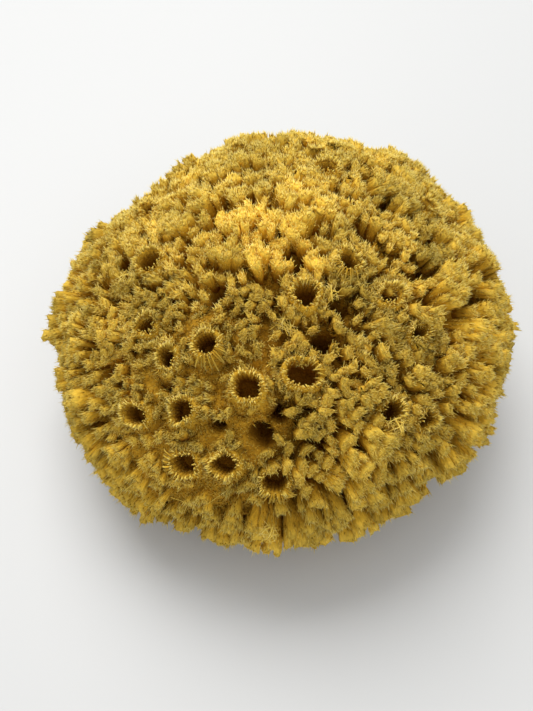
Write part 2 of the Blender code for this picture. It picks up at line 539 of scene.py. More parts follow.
def mesh_object(
    name: str,
    points: Array,
    faces: Array,
    shares: dict[str, Array],
    flat: Array | None = None,
) -> bpy.types.Object:
    """Makes one object from arrays of triangles.

    Args:
        name: The piece's name.
        points: Vertices, in millimetres.
        faces: Vertex numbers, three a row.
        shares: Named values, one for each vertex, that the finish reads.
        flat: Texture places, one for each corner of each triangle, or None.

    Returns:
        The object, at the origin.
    """
    mesh = bpy.data.meshes.new(name)
    mesh.vertices.add(len(points))
    mesh.vertices.foreach_set("co", (points * MM).ravel())
    mesh.loops.add(faces.size)
    mesh.loops.foreach_set("vertex_index", faces.ravel().astype(np.int32))
    mesh.polygons.add(len(faces))
    mesh.polygons.foreach_set("loop_start", np.arange(0, faces.size, 3, dtype=np.int32))
    mesh.update(calc_edges=True)
    mesh.shade_smooth()
    keep_values(mesh, shares)
    if flat is not None:
        mesh.uv_layers.new(name="OFBake").data.foreach_set("uv", flat.ravel().astype(np.float32))
    thing = bpy.data.objects.new(name, mesh)
    bpy.context.scene.collection.objects.link(thing)
    return thing


def dressed(thing: bpy.types.Object, material: bpy.types.Material) -> bpy.types.Object:
    """Gives a piece its finish, and attaches it to its body.

    Args:
        thing: The piece.
        material: Its finish.

    Returns:
        The same piece.
    """
    thing.data.materials.clear()
    thing.data.materials.append(material)
    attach(thing, BODY)
    log.info("%s: %d triangles", thing.name, sum(len(p.vertices) - 2 for p in thing.data.polygons))
    return thing


def cell_places(count: int, one: Array) -> Array:
    """Spreads a small flat pattern over the cells of a square grid, one cell for each copy.

    Args:
        count: How many copies.
        one: The pattern's corner places, from 0 to 1.

    Returns:
        The corner places of all the copies, from 0 to 1.
    """
    side = math.ceil(math.sqrt(count))
    number = np.arange(count)
    low = np.column_stack([number % side, number // side])
    return ((low[:, None] + one[None]) / side).reshape(-1, 2)


def strand_object(name: str, strands: Strands, form: SpikeForm) -> bpy.types.Object:
    """Joins fibres into one object, with their tone, depth and length along as values for the finish.

    Args:
        name: The piece's name.
        strands: The fibres.
        form: How one of them is meshed.

    Returns:
        The object, at the origin.
    """
    points, along = form.build(strands)
    one = form.triangles()
    faces = (one[None] + form.points * np.arange(len(strands))[:, None, None]).reshape(-1, 3)
    starts = np.repeat(strands.starts, form.points)
    shares = {
        "along": starts + (1.0 - starts) * along,
        "tone": np.repeat(strands.tones, form.points),
        "depth": np.repeat(strands.depths, form.points),
    }
    return mesh_object(name, points, faces, shares, cell_places(len(strands), form.flat_places()))


class Grain(Enum):
    """What the fine grain of a finish follows."""

    NONE = "none"
    ALONG_THE_LOBE = "along the lobe"
    FELTED = "felted"


@dataclass(frozen=True)
class FibreFinish:
    """Dry golden sponge fibre, quite matt, with painted shade that browns it at the root and in the depths,
    and a painted highlight that pales its tip.
    """

    name: str
    grain: Grain = Grain.NONE
    body_at: float = 0.45
    edge_at: float = 0.82
    # The ramp: a root darkened as painted shade, the golden body, and an edge and tip paled as a painted
    # highlight.
    root: tuple[float, float, float] = (0.46, 0.236, 0.012)
    body: tuple[float, float, float] = (0.59, 0.348, 0.026)
    edge: tuple[float, float, float] = (0.73, 0.545, 0.098)
    tip: tuple[float, float, float] = (0.86, 0.715, 0.275)
    # The painted shade colour that the depth value mixes in.
    deep: tuple[float, float, float] = (0.26, 0.10, 0.003)
    roughness: float = 0.85
    specular: float = 0.12
    patch_scale: float = 60.0
    patch_tone: float = 0.12
    felt_scale: float = 900.0
    felt_swirl: float = 1.5
    lobe_scale: float = 1.7
    grain_tones: tuple[float, float] = (0.72, 1.26)
    bump: float = 0.9
    bump_height: float = 0.0006

    def material(self) -> bpy.types.Material:
        """The finish as a node material that reads the values kept on the mesh.

        Returns:
            The material.
        """
        made = bpy.data.materials.new(self.name)
        made.use_nodes = True
        nodes, links = made.node_tree.nodes, made.node_tree.links
        shader = nodes["Principled BSDF"]
        shader.inputs["Roughness"].default_value = self.roughness
        shader.inputs["Specular IOR Level"].default_value = self.specular

        # Colour along each fibre: painted shade towards the root, a painted highlight at the pale tip.
        ramp = nodes.new("ShaderNodeValToRGB")
        links.new(self._value(nodes, "along").outputs["Fac"], ramp.inputs["Fac"])
        stops = ramp.color_ramp.elements
        stops[0].position, stops[0].color = 0.0, (*self.root, 1.0)
        stops[1].position, stops[1].color = 1.0, (*self.tip, 1.0)
        for at, colour in ((self.body_at, self.body), (self.edge_at, self.edge)):
            stops.new(at).color = (*colour, 1.0)

        # Painted shade: the colour is mixed towards the deep colour as far as the depth value says.
        sunk = nodes.new("ShaderNodeMix")
        sunk.data_type = "RGBA"
        links.new(self._value(nodes, "depth").outputs["Fac"], sunk.inputs["Factor"])
        links.new(ramp.outputs["Color"], sunk.inputs["A"])
        sunk.inputs["B"].default_value = (*self.deep, 1.0)

        place = nodes.new("ShaderNodeTexCoord")
        patches = nodes.new("ShaderNodeTexNoise")
        patches.inputs["Scale"].default_value = self.patch_scale
        patches.inputs["Detail"].default_value = 2.0
        links.new(place.outputs["Object"], patches.inputs["Vector"])
        light = self._range(nodes, (0.3, 0.7), (-self.patch_tone, self.patch_tone))
        links.new(patches.outputs["Fac"], light.inputs["Value"])
        total = nodes.new("ShaderNodeMath")
        links.new(light.outputs["Result"], total.inputs[0])
        links.new(self._value(nodes, "tone").outputs["Fac"], total.inputs[1])
        value = total.outputs["Value"]
        if self.grain is not Grain.NONE:
            value = self._grained(nodes, links, shader, place, value)
        toned = nodes.new("ShaderNodeHueSaturation")
        links.new(value, toned.inputs["Value"])
        links.new(sunk.outputs["Result"], toned.inputs["Color"])
        links.new(toned.outputs["Color"], shader.inputs["Base Color"])
        return made

    @staticmethod
    def _value(nodes: bpy.types.Nodes, key: str) -> bpy.types.Node:
        """A node that reads one value kept on the mesh.

        Args:
            nodes: The material's nodes.
            key: The value's name.

        Returns:
            The node.
        """
        node = nodes.new("ShaderNodeAttribute")
        node.attribute_name = key
        return node

    @staticmethod
    def _range(
        nodes: bpy.types.Nodes,
        was: tuple[float, float],
        becomes: tuple[float, float],
    ) -> bpy.types.Node:
        """A node that turns one range of numbers into another.

        Args:
            nodes: The material's nodes.
            was: The least and the greatest number that come in.
            becomes: What they turn into.

        Returns:
            The node.
        """
        node = nodes.new("ShaderNodeMapRange")
        for key, number in zip(("From Min", "From Max", "To Min", "To Max"), (*was, *becomes)):
            node.inputs[key].default_value = number
        return node

    def _grained(
        self,
        nodes: bpy.types.Nodes,
        links: bpy.types.NodeLinks,
        shader: bpy.types.Node,
        place: bpy.types.Node,
        value: bpy.types.NodeSocket,
    ) -> bpy.types.NodeSocket:
        """Adds the fine grain, as light and dark and as bump.

        Args:
            nodes: The material's nodes.
            links: The material's links.
            shader: The surface shader.
            place: The node with the object's own coordinates.
            value: The brightness so far.

        Returns:
            The brightness with the grain in it.
        """
        noise = nodes.new("ShaderNodeTexNoise")
        if self.grain is Grain.FELTED:
            noise.inputs["Scale"].default_value = self.felt_scale
            noise.inputs["Distortion"].default_value = self.felt_swirl
            links.new(place.outputs["Object"], noise.inputs["Vector"])
        else:
            noise.inputs["Scale"].default_value = self.lobe_scale
            links.new(self._value(nodes, "strand").outputs["Vector"], noise.inputs["Vector"])
        noise.inputs["Detail"].default_value = 3.0
        noise.inputs["Roughness"].default_value = 0.65
        bump = nodes.new("ShaderNodeBump")
        bump.inputs["Strength"].default_value = self.bump
        bump.inputs["Distance"].default_value = self.bump_height
        links.new(noise.outputs["Fac"], bump.inputs["Height"])
        links.new(bump.outputs["Normal"], shader.inputs["Normal"])
        shade = self._range(nodes, (0.32, 0.68), self.grain_tones)
        links.new(noise.outputs["Fac"], shade.inputs["Value"])
        product = nodes.new("ShaderNodeMath")
        product.operation = "MULTIPLY"
        links.new(value, product.inputs[0])
        links.new(shade.outputs["Result"], product.inputs[1])
        return product.outputs["Value"]


@dataclass(frozen=True)
class Brush:
    """How fine fibres clothe a lobe: a splayed brush on its end, and a nap along its sides."""

    each: int
    seed: int
    fringe_share: float = 0.5
    fringe_length: tuple[float, float] = (0.9, 2.1)
    fringe_width: tuple[float, float] = (0.28, 0.45)
    fringe_flare: tuple[float, float] = (-0.15, 0.38)
    nap_length: tuple[float, float] = (1.0, 2.2)
    nap_width: tuple[float, float] = (0.28, 0.43)
    nap_flare: tuple[float, float] = (0.25, 0.8)
    nap_from: float = 0.2
    nap_short: float = 0.22
    nap_upwards: float = 0.75
    nap_root: float = 0.98
    # How far up the colour ramp, past its painted shade, nap and fringe fibres start at the lobe's tip.
    nap_light: float = 0.75
    fringe_light: float = 0.68
    laid_flare: float = 0.4
    laid_stray: float = 0.5
    laid_longer: float = 0.25
    laid_fringe: float = 0.3
    longest_share: float = 0.5
    stray: float = 0.12
    tone_spread: float = 0.11


@dataclass
class Lobes:
    """Blunt felted lobes as arrays, one row each: a root, a tip, how far the middle bows, and a girth.

    A lobe is broader one way than the other, and turned about its middle line by its own angle. Its ridges
    are the shares of its girth round it, and its ragged end is how far each ridge stops short. Its nap
    stands off it where it is laid by 0, and lies along it where it is laid by 1.
    """

    roots: Array
    tips: Array
    bends: Array
    radii: Array
    turns: Array
    tones: Array
    feet: Array
    laid: Array
    ridges: Array
    ragged: Array
    rings: tuple[float, ...] = (0.0, 0.36, 0.68, 0.86)
    girths: tuple[float, ...] = (0.6, 0.88, 1.0, 1.0)
    end: float = 0.8
    broad: float = 1.4
    narrow: float = 0.74
    colour_reach: float = 0.72
    grain_stretch: float = 0.35
    least_height: float = 0.05
    margin: float = 0.05

    @staticmethod
    def grown(
        draw: np.random.Generator,
        roots: Array,
        tips: Array,
        radii: Array,
        tones: Array,
        feet: Array,
        bow: Array,
        laid: Array,
        sides: int = 7,
    ) -> "Lobes":
        """Lobes with random turns, ridges and ragged ends.

        Args:
            draw: For the random draws.
            roots: Where they stand.
            tips: Where they end.
            radii: Their girths.
            tones: How light they are, about 1.
            feet: How much painted shade their roots get, from 0 to 1.
            bow: How far their middles may bow, one for each.
            laid: How flat their naps lie, from 0 to 1.
            sides: How many ridges each has.

        Returns:
            The lobes.
        """
        count = len(roots)
        return Lobes(
            roots=roots,
            tips=tips,
            bends=draw.normal(size=roots.shape) * bow[:, None],
            radii=radii,
            turns=draw.uniform(0.0, math.pi, count),
            tones=tones,
            feet=feet,
            laid=laid,
            ridges=draw.uniform(0.72, 1.22, (count, sides)),
            ragged=draw.uniform(-0.03, 0.09, (count, sides)),
        )

    def axis(self, rows: Array, share: Array) -> tuple[Array, Array]:
        """Points and directions on the lobes' middle lines.

        Args:
            rows: Which lobe each is on.
            share: How far along, from 0 at the root to 1 at the tip.

        Returns:
            Points and unit vectors.
        """
        whole = self.tips[rows] - self.roots[rows]
        s = share[:, None]
        point = self.roots[rows] + whole * s + self.bends[rows] * 4.0 * s * (1.0 - s)
        return point, unit(whole + self.bends[rows] * 4.0 * (1.0 - 2.0 * s))

    def spokes(self, rows: Array, direction: Array, turn: Array) -> Array:
        """Vectors from the middle line to the edge of a lobe of girth 1.

        Args:
            rows: Which lobe each is on.
            direction: The middle line's direction there.
            turn: The angle round the lobe, from its broad way.

        Returns:
            One vector a row.
        """
        u, v = square_to(direction)
        c, s = np.cos(self.turns[rows])[:, None], np.sin(self.turns[rows])[:, None]
        wide, thin = (u * c + v * s) * self.broad, (v * c - u * s) * self.narrow
        return wide * np.cos(turn)[:, None] + thin * np.sin(turn)[:, None]

    def lengths(self) -> Array:
        """How long each lobe is, from root to tip."""
        return np.linalg.norm(self.tips - self.roots, axis=1)

    def build(self, name: str) -> bpy.types.Object:
        """All the lobes as one object, each ridged and closed at its foot and its ragged end.

        Args:
            name: The piece's name.

        Returns:
            The object, at the origin.
        """
        count, sides = self.ridges.shape
        rows = np.arange(count)
        levels = len(self.rings)
        width = sides * levels + 2
        points = np.empty((count, width, 3))
        strand = np.zeros((count, width, 3))
        along = np.empty((count, width))
        for number, (share, girth) in enumerate(zip(self.rings, self.girths)):
            last = number == levels - 1
            for k in range(sides):
                turn = np.full(count, FULL_TURN * k / sides)
                where = np.full(count, share) - self.ragged[:, k] * last
                centre, direction = self.axis(rows, where)
                reach = self.radii * girth * self.ridges[:, k]
                column = number * sides + k
                points[:, column] = centre + self.spokes(rows, direction, turn) * reach[:, None]
                strand[:, column, 0] = np.cos(turn) * self.radii
                strand[:, column, 1] = np.sin(turn) * self.radii
                along[:, column] = where
        points[:, -2] = self.roots
        points[:, -1] = self.axis(rows, np.full(count, self.end))[0]
        along[:, -2:] = 0.0, self.end
        strand[:, :, 2] = along * self.lengths()[:, None] * self.grain_stretch
        strand += (rows * 7.31 % 97.0)[:, None, None]
        faces = (tube_faces(sides, levels)[None] + width * rows[:, None, None]).reshape(-1, 3)
        points = points.reshape(-1, 3)
        points[:, 2] = np.maximum(points[:, 2], self.least_height)
        # along places each point on the colour ramp, short of its painted highlight; depth is painted shade,
        # darkest at the lobe's foot.
        shares = {
            "along": along.ravel() * self.colour_reach,
            "tone": np.repeat(self.tones, width),
            "depth": painted_shade_share(along.ravel(), np.repeat(self.feet, width)),
        }
        made = mesh_object(name, points, faces, shares, cell_places(count, self._flat_places(sides, levels)))
        vectors = made.data.attributes.new("strand", "FLOAT_VECTOR", "POINT")
        vectors.data.foreach_set("vector", strand.reshape(-1).astype(np.float32))
        return made

    def _flat_places(self, sides: int, rings: int) -> Array:
        """Where each corner of each triangle goes in the lobe's own cell of the texture.

        Args:
            sides: How many vertices a ring has.
            rings: How many rings there are.

        Returns:
            Places from 0 to 1, in the order of the triangles' corners.
        """
        places = []
        low_edge, high_edge = self.margin, 1.0 - self.margin
        across = 1.0 - 2.0 * self.margin
        step = across / (rings + 1)
        for k in range(sides):
            left, right = low_edge + across * k / sides, low_edge + across * (k + 1) / sides
            middle = 0.5 * (left + right)
            places += [(right, low_edge + step), (left, low_edge + step), (middle, low_edge)]
            places += [(left, high_edge - step), (right, high_edge - step), (middle, high_edge)]
            for ring in range(rings - 1):
                low, high = low_edge + step * (ring + 1), low_edge + step * (ring + 2)
                places += [(left, low), (right, low), (right, high), (left, low), (right, high), (left, high)]
        return np.array(places)

    def brushed(self, brush: Brush) -> Strands:
        """The fine fibres that clothe the lobes: a brush of them on each end, and a nap along the sides.

        Args:
            brush: How many there are, and how they lie.

        Returns:
            The fibres.
        """
        draw = np.random.default_rng(brush.seed)
        on_end = round(brush.each * brush.fringe_share)
        nap = np.repeat(np.arange(len(self.tips)), brush.each - on_end)
        turn = draw.uniform(0.0, FULL_TURN, len(nap))
        reached = self._last_ring(nap, turn) - brush.nap_short
        share = brush.nap_from + reached * draw.random(len(nap)) ** brush.nap_upwards
        roots, direction, edge = self._surface(nap, share, turn, brush.nap_root)
        laid = self.laid[nap]
        flare = draw.uniform(*brush.nap_flare, len(nap)) * (1.0 - brush.laid_flare * laid)
        stray = draw.normal(size=roots.shape) * (brush.stray * (1.0 - brush.laid_stray * laid))[:, None]
        course = unit(direction + edge * flare[:, None] + stray)
        length = draw.uniform(*brush.nap_length, len(nap)) * (1.0 + brush.laid_longer * laid)
        length = np.minimum(length, brush.longest_share * self.lengths()[nap])
        tips = roots + course * length[:, None]
        sides = self._fibres(draw, brush, nap, share, roots, tips, brush.nap_width, brush.nap_light)

        rows = np.repeat(np.arange(len(self.tips)), on_end)
        turn = draw.uniform(0.0, FULL_TURN, len(rows))
        out = np.sqrt(draw.uniform(0.02, 1.0, len(rows)))
        share = self.end + (self._last_ring(rows, turn) - self.end) * out - 0.02
        roots, direction, edge = self._surface(rows, share, turn, out)
        flare = draw.uniform(*brush.fringe_flare, len(rows)) * out
        course = unit(direction + edge * flare[:, None] + draw.normal(size=roots.shape) * brush.stray)
        length = draw.uniform(*brush.fringe_length, len(rows)) * (1.0 - brush.laid_fringe * self.laid[rows])
        length = np.minimum(length, brush.longest_share * self.lengths()[rows])
        tips = roots + course * length[:, None]
        ends = self._fibres(draw, brush, rows, share, roots, tips, brush.fringe_width, brush.fringe_light)
        return Strands.joined([sides, ends])

    @staticmethod
    def _between_ridges(values: Array, rows: Array, turn: Array) -> Array:
        """Reads values that each ridge has at any angle round a lobe.

        Args:
            values: One row a lobe, and one value a ridge.
            rows: Which lobe each is on.
            turn: The angle round it.

        Returns:
            One value for each angle.
        """
        sides = values.shape[1]
        place = turn / FULL_TURN * sides
        low, mix = np.floor(place).astype(int), place - np.floor(place)
        return values[rows, low % sides] * (1.0 - mix) + values[rows, (low + 1) % sides] * mix

    def _last_ring(self, rows: Array, turn: Array) -> Array:
        """How far along a lobe its last ring stands, at each angle round it."""
        return self.rings[-1] - self._between_ridges(self.ragged, rows, turn)

    def _surface(
        self,
        rows: Array,
        share: Array,
        turn: Array,
        out: Array | float,
    ) -> tuple[Array, Array, Array]:
        """Points on or under the lobes' surfaces.

        Args:
            rows: Which lobe each is on.
            share: How far along it.
            turn: The angle round it.
            out: How far out, from 0 on the middle line to 1 on the surface.

        Returns:
            Points, the middle line's directions, and unit vectors outwards.
        """
        ridge = self._between_ridges(self.ridges, rows, turn)
        centre, direction = self.axis(rows, share)
        edge = self.spokes(rows, direction, turn)
        reach = self.radii[rows] * np.interp(share, self.rings, self.girths) * ridge * out
        return centre + edge * reach[:, None], direction, unit(edge)

    def _fibres(
        self,
        draw: np.random.Generator,
        brush: Brush,
        rows: Array,
        share: Array,
        roots: Array,
        tips: Array,
        widths: tuple[float, float],
        start: float,
    ) -> Strands:
        """Straight fibres on the lobes.

        Args:
            draw: For the random draws.
            brush: How they lie.
            rows: Which lobe each is on.
            share: How far along it.
            roots: Where they start.
            tips: Where they end.
            widths: The least and the greatest width.
            start: How light their roots are at the lobe's tip, from 0 to 1.

        Returns:
            The fibres.
        """
        return Strands(
            roots=roots,
            tips=tips,
            widths=draw.uniform(*widths, len(rows)),
            bends=np.zeros(roots.shape),
            tones=self.tones[rows] + draw.normal(size=len(rows)) * brush.tone_spread,
            # Painted shade, darkest towards the lobe's foot.
            depths=painted_shade_share(share, self.feet[rows]),
            starts=start * share,
        )


def painted_shade_share(share: Array, feet: Array) -> Array:
    """How much painted shade a point gets between the tufts, from 0 at a tip to about 1 at the ground.

    Args:
        share: How far along its bundle it is.
        feet: How much painted shade that bundle's own root gets.

    Returns:
        The painted shade shares.
    """
    return np.clip(feet * np.maximum(1.0 - share, 0.0) ** 1.3, 0.0, 1.0)


@dataclass(frozen=True)
class Fan:
    """A place where the tufts are longer and lie over one way, and get painted light that raises their tone.
    """

    x: float
    y: float
    reach: float
    lean: tuple[float, float, float]
    longer: float
    # Painted light added to the tone of the fan's tufts.
    lighter: float = 0.0

    def near(self, points: Array) -> Array:
        """1 over the middle of the fan, less and less away from it."""
        return np.exp(-((np.hypot(points[:, 0] - self.x, points[:, 1] - self.y) / self.reach) ** 2))


@dataclass
class Habit:
    """How each tuft grows, one row each.

    It is lower than a full one by so much, and its tip leans over by a vector. Its gather is the share of
    their spacing that the tips of its lobes keep. It is packed by 1 where the tufts stand close and long,
    and there its lobes' roots get less painted shade. Its tone holds the painted light of the fans.
    """

    lower: Array
    leaning: Array
    tones: Array
    gathers: Array
    packed: Array


@dataclass
class Tufts:
    """The upright tufts: each a cluster of felted lobes with frayed ends.

    A gather is the share of their spacing that the lobes of a tuft keep, at its foot or its tip.
    """

    layout: Layout
    pitch: float = 2.75
    candidates: int = 70000
    thinned_on_mat: float = 0.9
    clear_of_cut: float = 1.5
    clear_of_gap: float = 0.5
    foot_gather: float = 0.4
    foot_sunk: float = 0.6
    tip_gather: tuple[float, float] = (0.6, 0.86)
    rim_gather: float = 0.92
    rim_pitch: float = 1.28
    rim_girth: float = 1.26
    rim_rise: float = 0.5
    rim_evenness: float = 0.5
    rim_stiffness: float = 0.6
    fan_girth: float = 0.24
    fan_evenness: float = 0.6
    clump_pitch: float = 14.0
    clump_pull: float = 0.28
    clump_share: float = 0.7
    clump_lean: float = 1.4
    length_spread: float = 7.5
    length_power: float = 1.6
    clump_power: float = 1.4
    shortest_share: float = 0.7
    rise: float = 1.3
    lobe_spread: float = 2.5
    lobe_power: float = 1.3
    lobe_evenness: float = 0.4
    lean: float = 2.2
    lone_lean: float = 0.4
    lobe_lean: float = 0.4
    bow: float = 0.5
    girth: tuple[float, float] = (1.14, 1.7)
    foot_girth: float = 0.6
    least_tip: float = 0.6
    least_root: float = 0.3
    reach: float = 4.7
    short_by: tuple[float, float] = (1.0, 4.5)
    combed: float = 9.0
    combed_down: float = 4.0
    comb_out: float = 0.75
    comb_up: float = 0.85
    comb_lift: float = 0.05
    packed_behind: float = 0.85
    packed_gather: float = 0.97
    packed_evenness: float = 0.45
    # How much less painted shade the roots get where the tufts are packed.
    packed_light: float = 0.8
    tone_spread: float = 0.07
    lobe_tone_spread: float = 0.05
    shade: Shade = Shade()
    seed: int = 21
    fans: tuple[Fan, ...] = (
        Fan(-12.0, -5.0, 11.0, (0.3, 1.5, 0.0), 1.6, 0.36),
        Fan(2.0, 6.0, 12.0, (0.3, 1.3, 0.0), 1.2, 0.34),
        Fan(-24.0, 14.0, 13.0, (-2.0, 3.0, 0.0), 1.0, 0.2),
        Fan(20.0, -56.0, 12.0, (3.5, -3.5, -1.5), 1.0, 0.05),
        Fan(-36.0, 12.0, 12.0, (-3.0, -1.5, 0.0), 0.5),
        Fan(48.0, -8.0, 12.0, (3.0, -1.0, 0.0), 0.5, 0.05),
    )
    trims: tuple[Swell, ...] = (
        Swell(-50.0, -13.0, 5.5, -6.0),
        Swell(-41.0, -11.0, 4.0, 3.0),
        Swell(134.0, 12.0, 14.0, -3.6),
        Swell(106.0, 16.0, 8.0, 4.0),
        Swell(-3.0, 0.0, 7.0, 3.2),
        Swell(50.0, 13.0, 12.0, 2.2),
        Swell(161.0, 5.0, 5.0, 3.6),
        Swell(-168.0, -4.0, 14.0, 1.2),
        Swell(-177.0, 0.0, 5.0, 2.0),
        Swell(-130.0, -13.0, 7.0, 1.8),
        Swell(-110.0, -16.0, 5.0, -2.4),
        Swell(-99.0, -17.0, 5.0, 1.8),
        Swell(-80.0, -17.0, 5.0, -1.8),
        Swell(-61.0, -15.0, 5.0, 3.0),
    )
    lobes: Lobes = field(init=False)

    def __post_init__(self) -> None:
        """Shares the outer surface among lobes, and gathers them at the feet of their tufts."""
        draw = np.random.default_rng(self.seed)
        dome = self.layout.dome
        fine = self._fine_ways(draw)
        tufts = self.layout.of(Kind.TUFT)
        centres = dome.tips(tufts)
        owner, off = self._nearest(dome.tips(fine), centres)
        habit = self._habits(draw, tufts, centres)
        self.lobes = self._grown(draw, fine, tufts, owner, off > self.reach, habit)

    @staticmethod
    def _nearest(points: Array, centres: Array, at_once: int = 500) -> tuple[Array, Array]:
        """The tuft nearest to each lobe.

        Args:
            points: The tips of the lobes.
            centres: The tips of the tufts.
            at_once: How many lobes are measured at a time.

        Returns:
            The tufts' numbers, and how far away they are.
        """
        owner = np.empty(len(points), int)
        off = np.empty(len(points))
        for start in range(0, len(points), at_once):
            rows = slice(start, start + at_once)
            away = np.linalg.norm(points[rows, None] - centres[None], axis=2)
            owner[rows] = away.argmin(axis=1)
            off[rows] = away.min(axis=1)
        return owner, off

    def _habits(self, draw: np.random.Generator, tufts: Array, centres: Array) -> Habit:
        """How each tuft grows: alone, with its clump, at the rim and in the fans.

        Args:
            draw: For the random draws.
            tufts: The ways of the tufts.
            centres: Their tips.

        Returns:
            The habits.
        """
        outward = self.layout.dome.outward(tufts)
        at_rim = self._rim_share(outward)
        lower = self.length_spread * draw.random(len(tufts)) ** self.length_power
        leaning = draw.normal(size=(len(tufts), 3)) * self.lean
        tones = 1.0 + self.tone_spread * draw.normal(size=len(tufts))
        group, heads = self._clumps(centres)
        clump_lower = self.length_spread * draw.random(len(heads)) ** self.clump_power - lower.mean()
        lower = np.maximum(lower + self.clump_share * clump_lower[group], 0.0)
        together = draw.normal(size=(len(heads), 3))[group]
        leaning += self.clump_share * self.lean * self.clump_lean * together
        leaning += (heads[group] - centres) * (self.clump_pull * (1.0 - at_rim))[:, None]
        gathers = draw.uniform(*self.tip_gather, len(tufts))
        gathers += (self.rim_gather - gathers) * at_rim
        lower *= 1.0 - self.rim_evenness * at_rim
        leaning *= (1.0 - self.rim_stiffness * at_rim)[:, None]
        leaning += self._combing(outward, centres)
        packed = self.packed_behind * smooth_step((outward[:, 1] - 0.1) / 0.4)
        for fan in self.fans:
            near = fan.near(centres) * (centres[:, 2] > self.layout.dome.middle[2])
            leaning += near[:, None] * np.array(fan.lean)
            lower -= near * (fan.longer + self.fan_evenness * lower)
            # Painted light on the fans' tufts.
            tones += near * fan.lighter
            packed = np.maximum(packed, near)
        gathers += (self.packed_gather - gathers) * packed
        lower *= 1.0 - self.packed_evenness * packed
        return Habit(lower, flattened(leaning, outward), tones, gathers, packed)

    def _combing(self, outward: Array, centres: Array) -> Array:
        """How the tufts of the sides are combed: outwards and, in front, downwards.

        Args:
            outward: The way each tuft grows.
            centres: The tips of the tufts.

        Returns:
            One vector for each.
        """
        off_top = 1.0 - smooth_step((outward[:, 2] - 0.1) / 0.85)
        over_cut = smooth_step((centres[:, 2] - 8.0) / 14.0)
        comb = outward * [self.comb_out, self.comb_out, 0.0]
        comb[:, 2] = self.comb_up * outward[:, 1] + self.comb_lift
        how_far = self.combed + self.combed_down * np.maximum(0.0, -outward[:, 1])
        return comb * (how_far * off_top * over_cut)[:, None]

    def _grown(
        self,
        draw: np.random.Generator,
        fine: Array,
        tufts: Array,
        owner: Array,
        alone: Array,
        habit: Habit,
    ) -> Lobes:
        """The lobes, drawn together at the feet of their tufts and leaning with them.

        Args:
            draw: For the random draws.
            fine: The ways of the lobes.
            tufts: The ways of the tufts.
            owner: Which tuft each lobe belongs to.
            alone: Which lobes are too far from any tuft, and stand by themselves.
            habit: How each tuft grows.

        Returns:
            The lobes.
        """
        dome = self.layout.dome
        home = np.where(alone[:, None], fine, tufts[owner])
        rim = self._rim_share(dome.outward(fine))
        packed = habit.packed[owner]
        full = dome.lengths(home)
        share = full / dome.tuft_length
        short = np.where(alone, draw.uniform(*self.short_by, len(fine)), habit.lower[owner])
        short = short - self.rise - self.rim_rise * rim
        lower = np.minimum(short, self.shortest_share * dome.tuft_length) * share
        outward = dome.outward(home)
        centre_tip, centre_foot = dome.at_depth(home, lower), dome.at_depth(home, full)
        spread_tip = dome.at_depth(fine, lower) - centre_tip
        spread_foot = dome.at_depth(fine, full) - centre_foot
        shorter = self.lobe_spread * draw.random(len(fine)) ** self.lobe_power * share
        shorter = shorter * (1.0 - self.lobe_evenness * np.maximum(rim, packed))
        on_top = smooth_step((dome.outward(fine)[:, 2] - 0.9) / 0.08)
        leaning = np.where(alone[:, None], self.lone_lean, 1.0) * habit.leaning[owner]
        swing = leaning * (share * (1.0 - 0.5 * on_top))[:, None]
        swing = swing + draw.normal(size=swing.shape) * (self.lobe_lean * share * (1.0 - 0.5 * rim))[:, None]
        tips = centre_tip + swing + spread_tip * habit.gathers[owner][:, None] - outward * shorter[:, None]
        roots = centre_foot + spread_foot * self.foot_gather - outward * self.foot_sunk
        from_middle = tips - np.array(dome.middle)
        tips = tips + outward * sum(swell.at(from_middle) for swell in self.trims)[:, None]
        tips[:, 2] = np.maximum(tips[:, 2], self.least_tip)
        roots[:, 2] = np.maximum(roots[:, 2], self.least_root)
        return Lobes.grown(
            draw,
            roots=roots,
            tips=tips,
            radii=draw.uniform(*self.girth, len(fine))
            * (self.foot_girth + (1.0 - self.foot_girth) * share)
            * (1.0 + (self.rim_girth - 1.0) * rim)
            * (1.0 + self.fan_girth * packed * (1.0 - rim)),
            tones=habit.tones[owner] + self.lobe_tone_spread * draw.normal(size=len(fine)),
            # Painted shade at the lobes' roots, from the Shade pattern, less where the tufts are packed.
            feet=self.shade.at(dome.tips(fine)) * (1.0 - self.packed_light * np.where(alone, 0.0, packed)),
            bow=self.bow * share * (1.0 - 0.5 * rim),
            laid=rim,
        )

    @staticmethod
    def _rim_share(outward: Array) -> Array:
        """1 round the rim and below it, 0 on the top."""
        return 1.0 - smooth_step((outward[:, 2] - 0.25) / 0.45)

    def _clumps(self, centres: Array) -> tuple[Array, Array]:
        """Sorts the tufts into clumps of neighbours.

        Args:
            centres: The tips of the tufts.

        Returns:
            Which clump each tuft belongs to, and the middles of the clumps.
        """
        heads = [centres[0]]
        for centre in centres[1:]:
            if np.linalg.norm(np.array(heads) - centre, axis=1).min() > self.clump_pitch:
                heads.append(centre)
        group = np.linalg.norm(centres[:, None] - np.array(heads)[None], axis=2).argmin(axis=1)
        middles = np.array([centres[group == k].mean(axis=0) for k in range(len(heads))])
        return group, middles

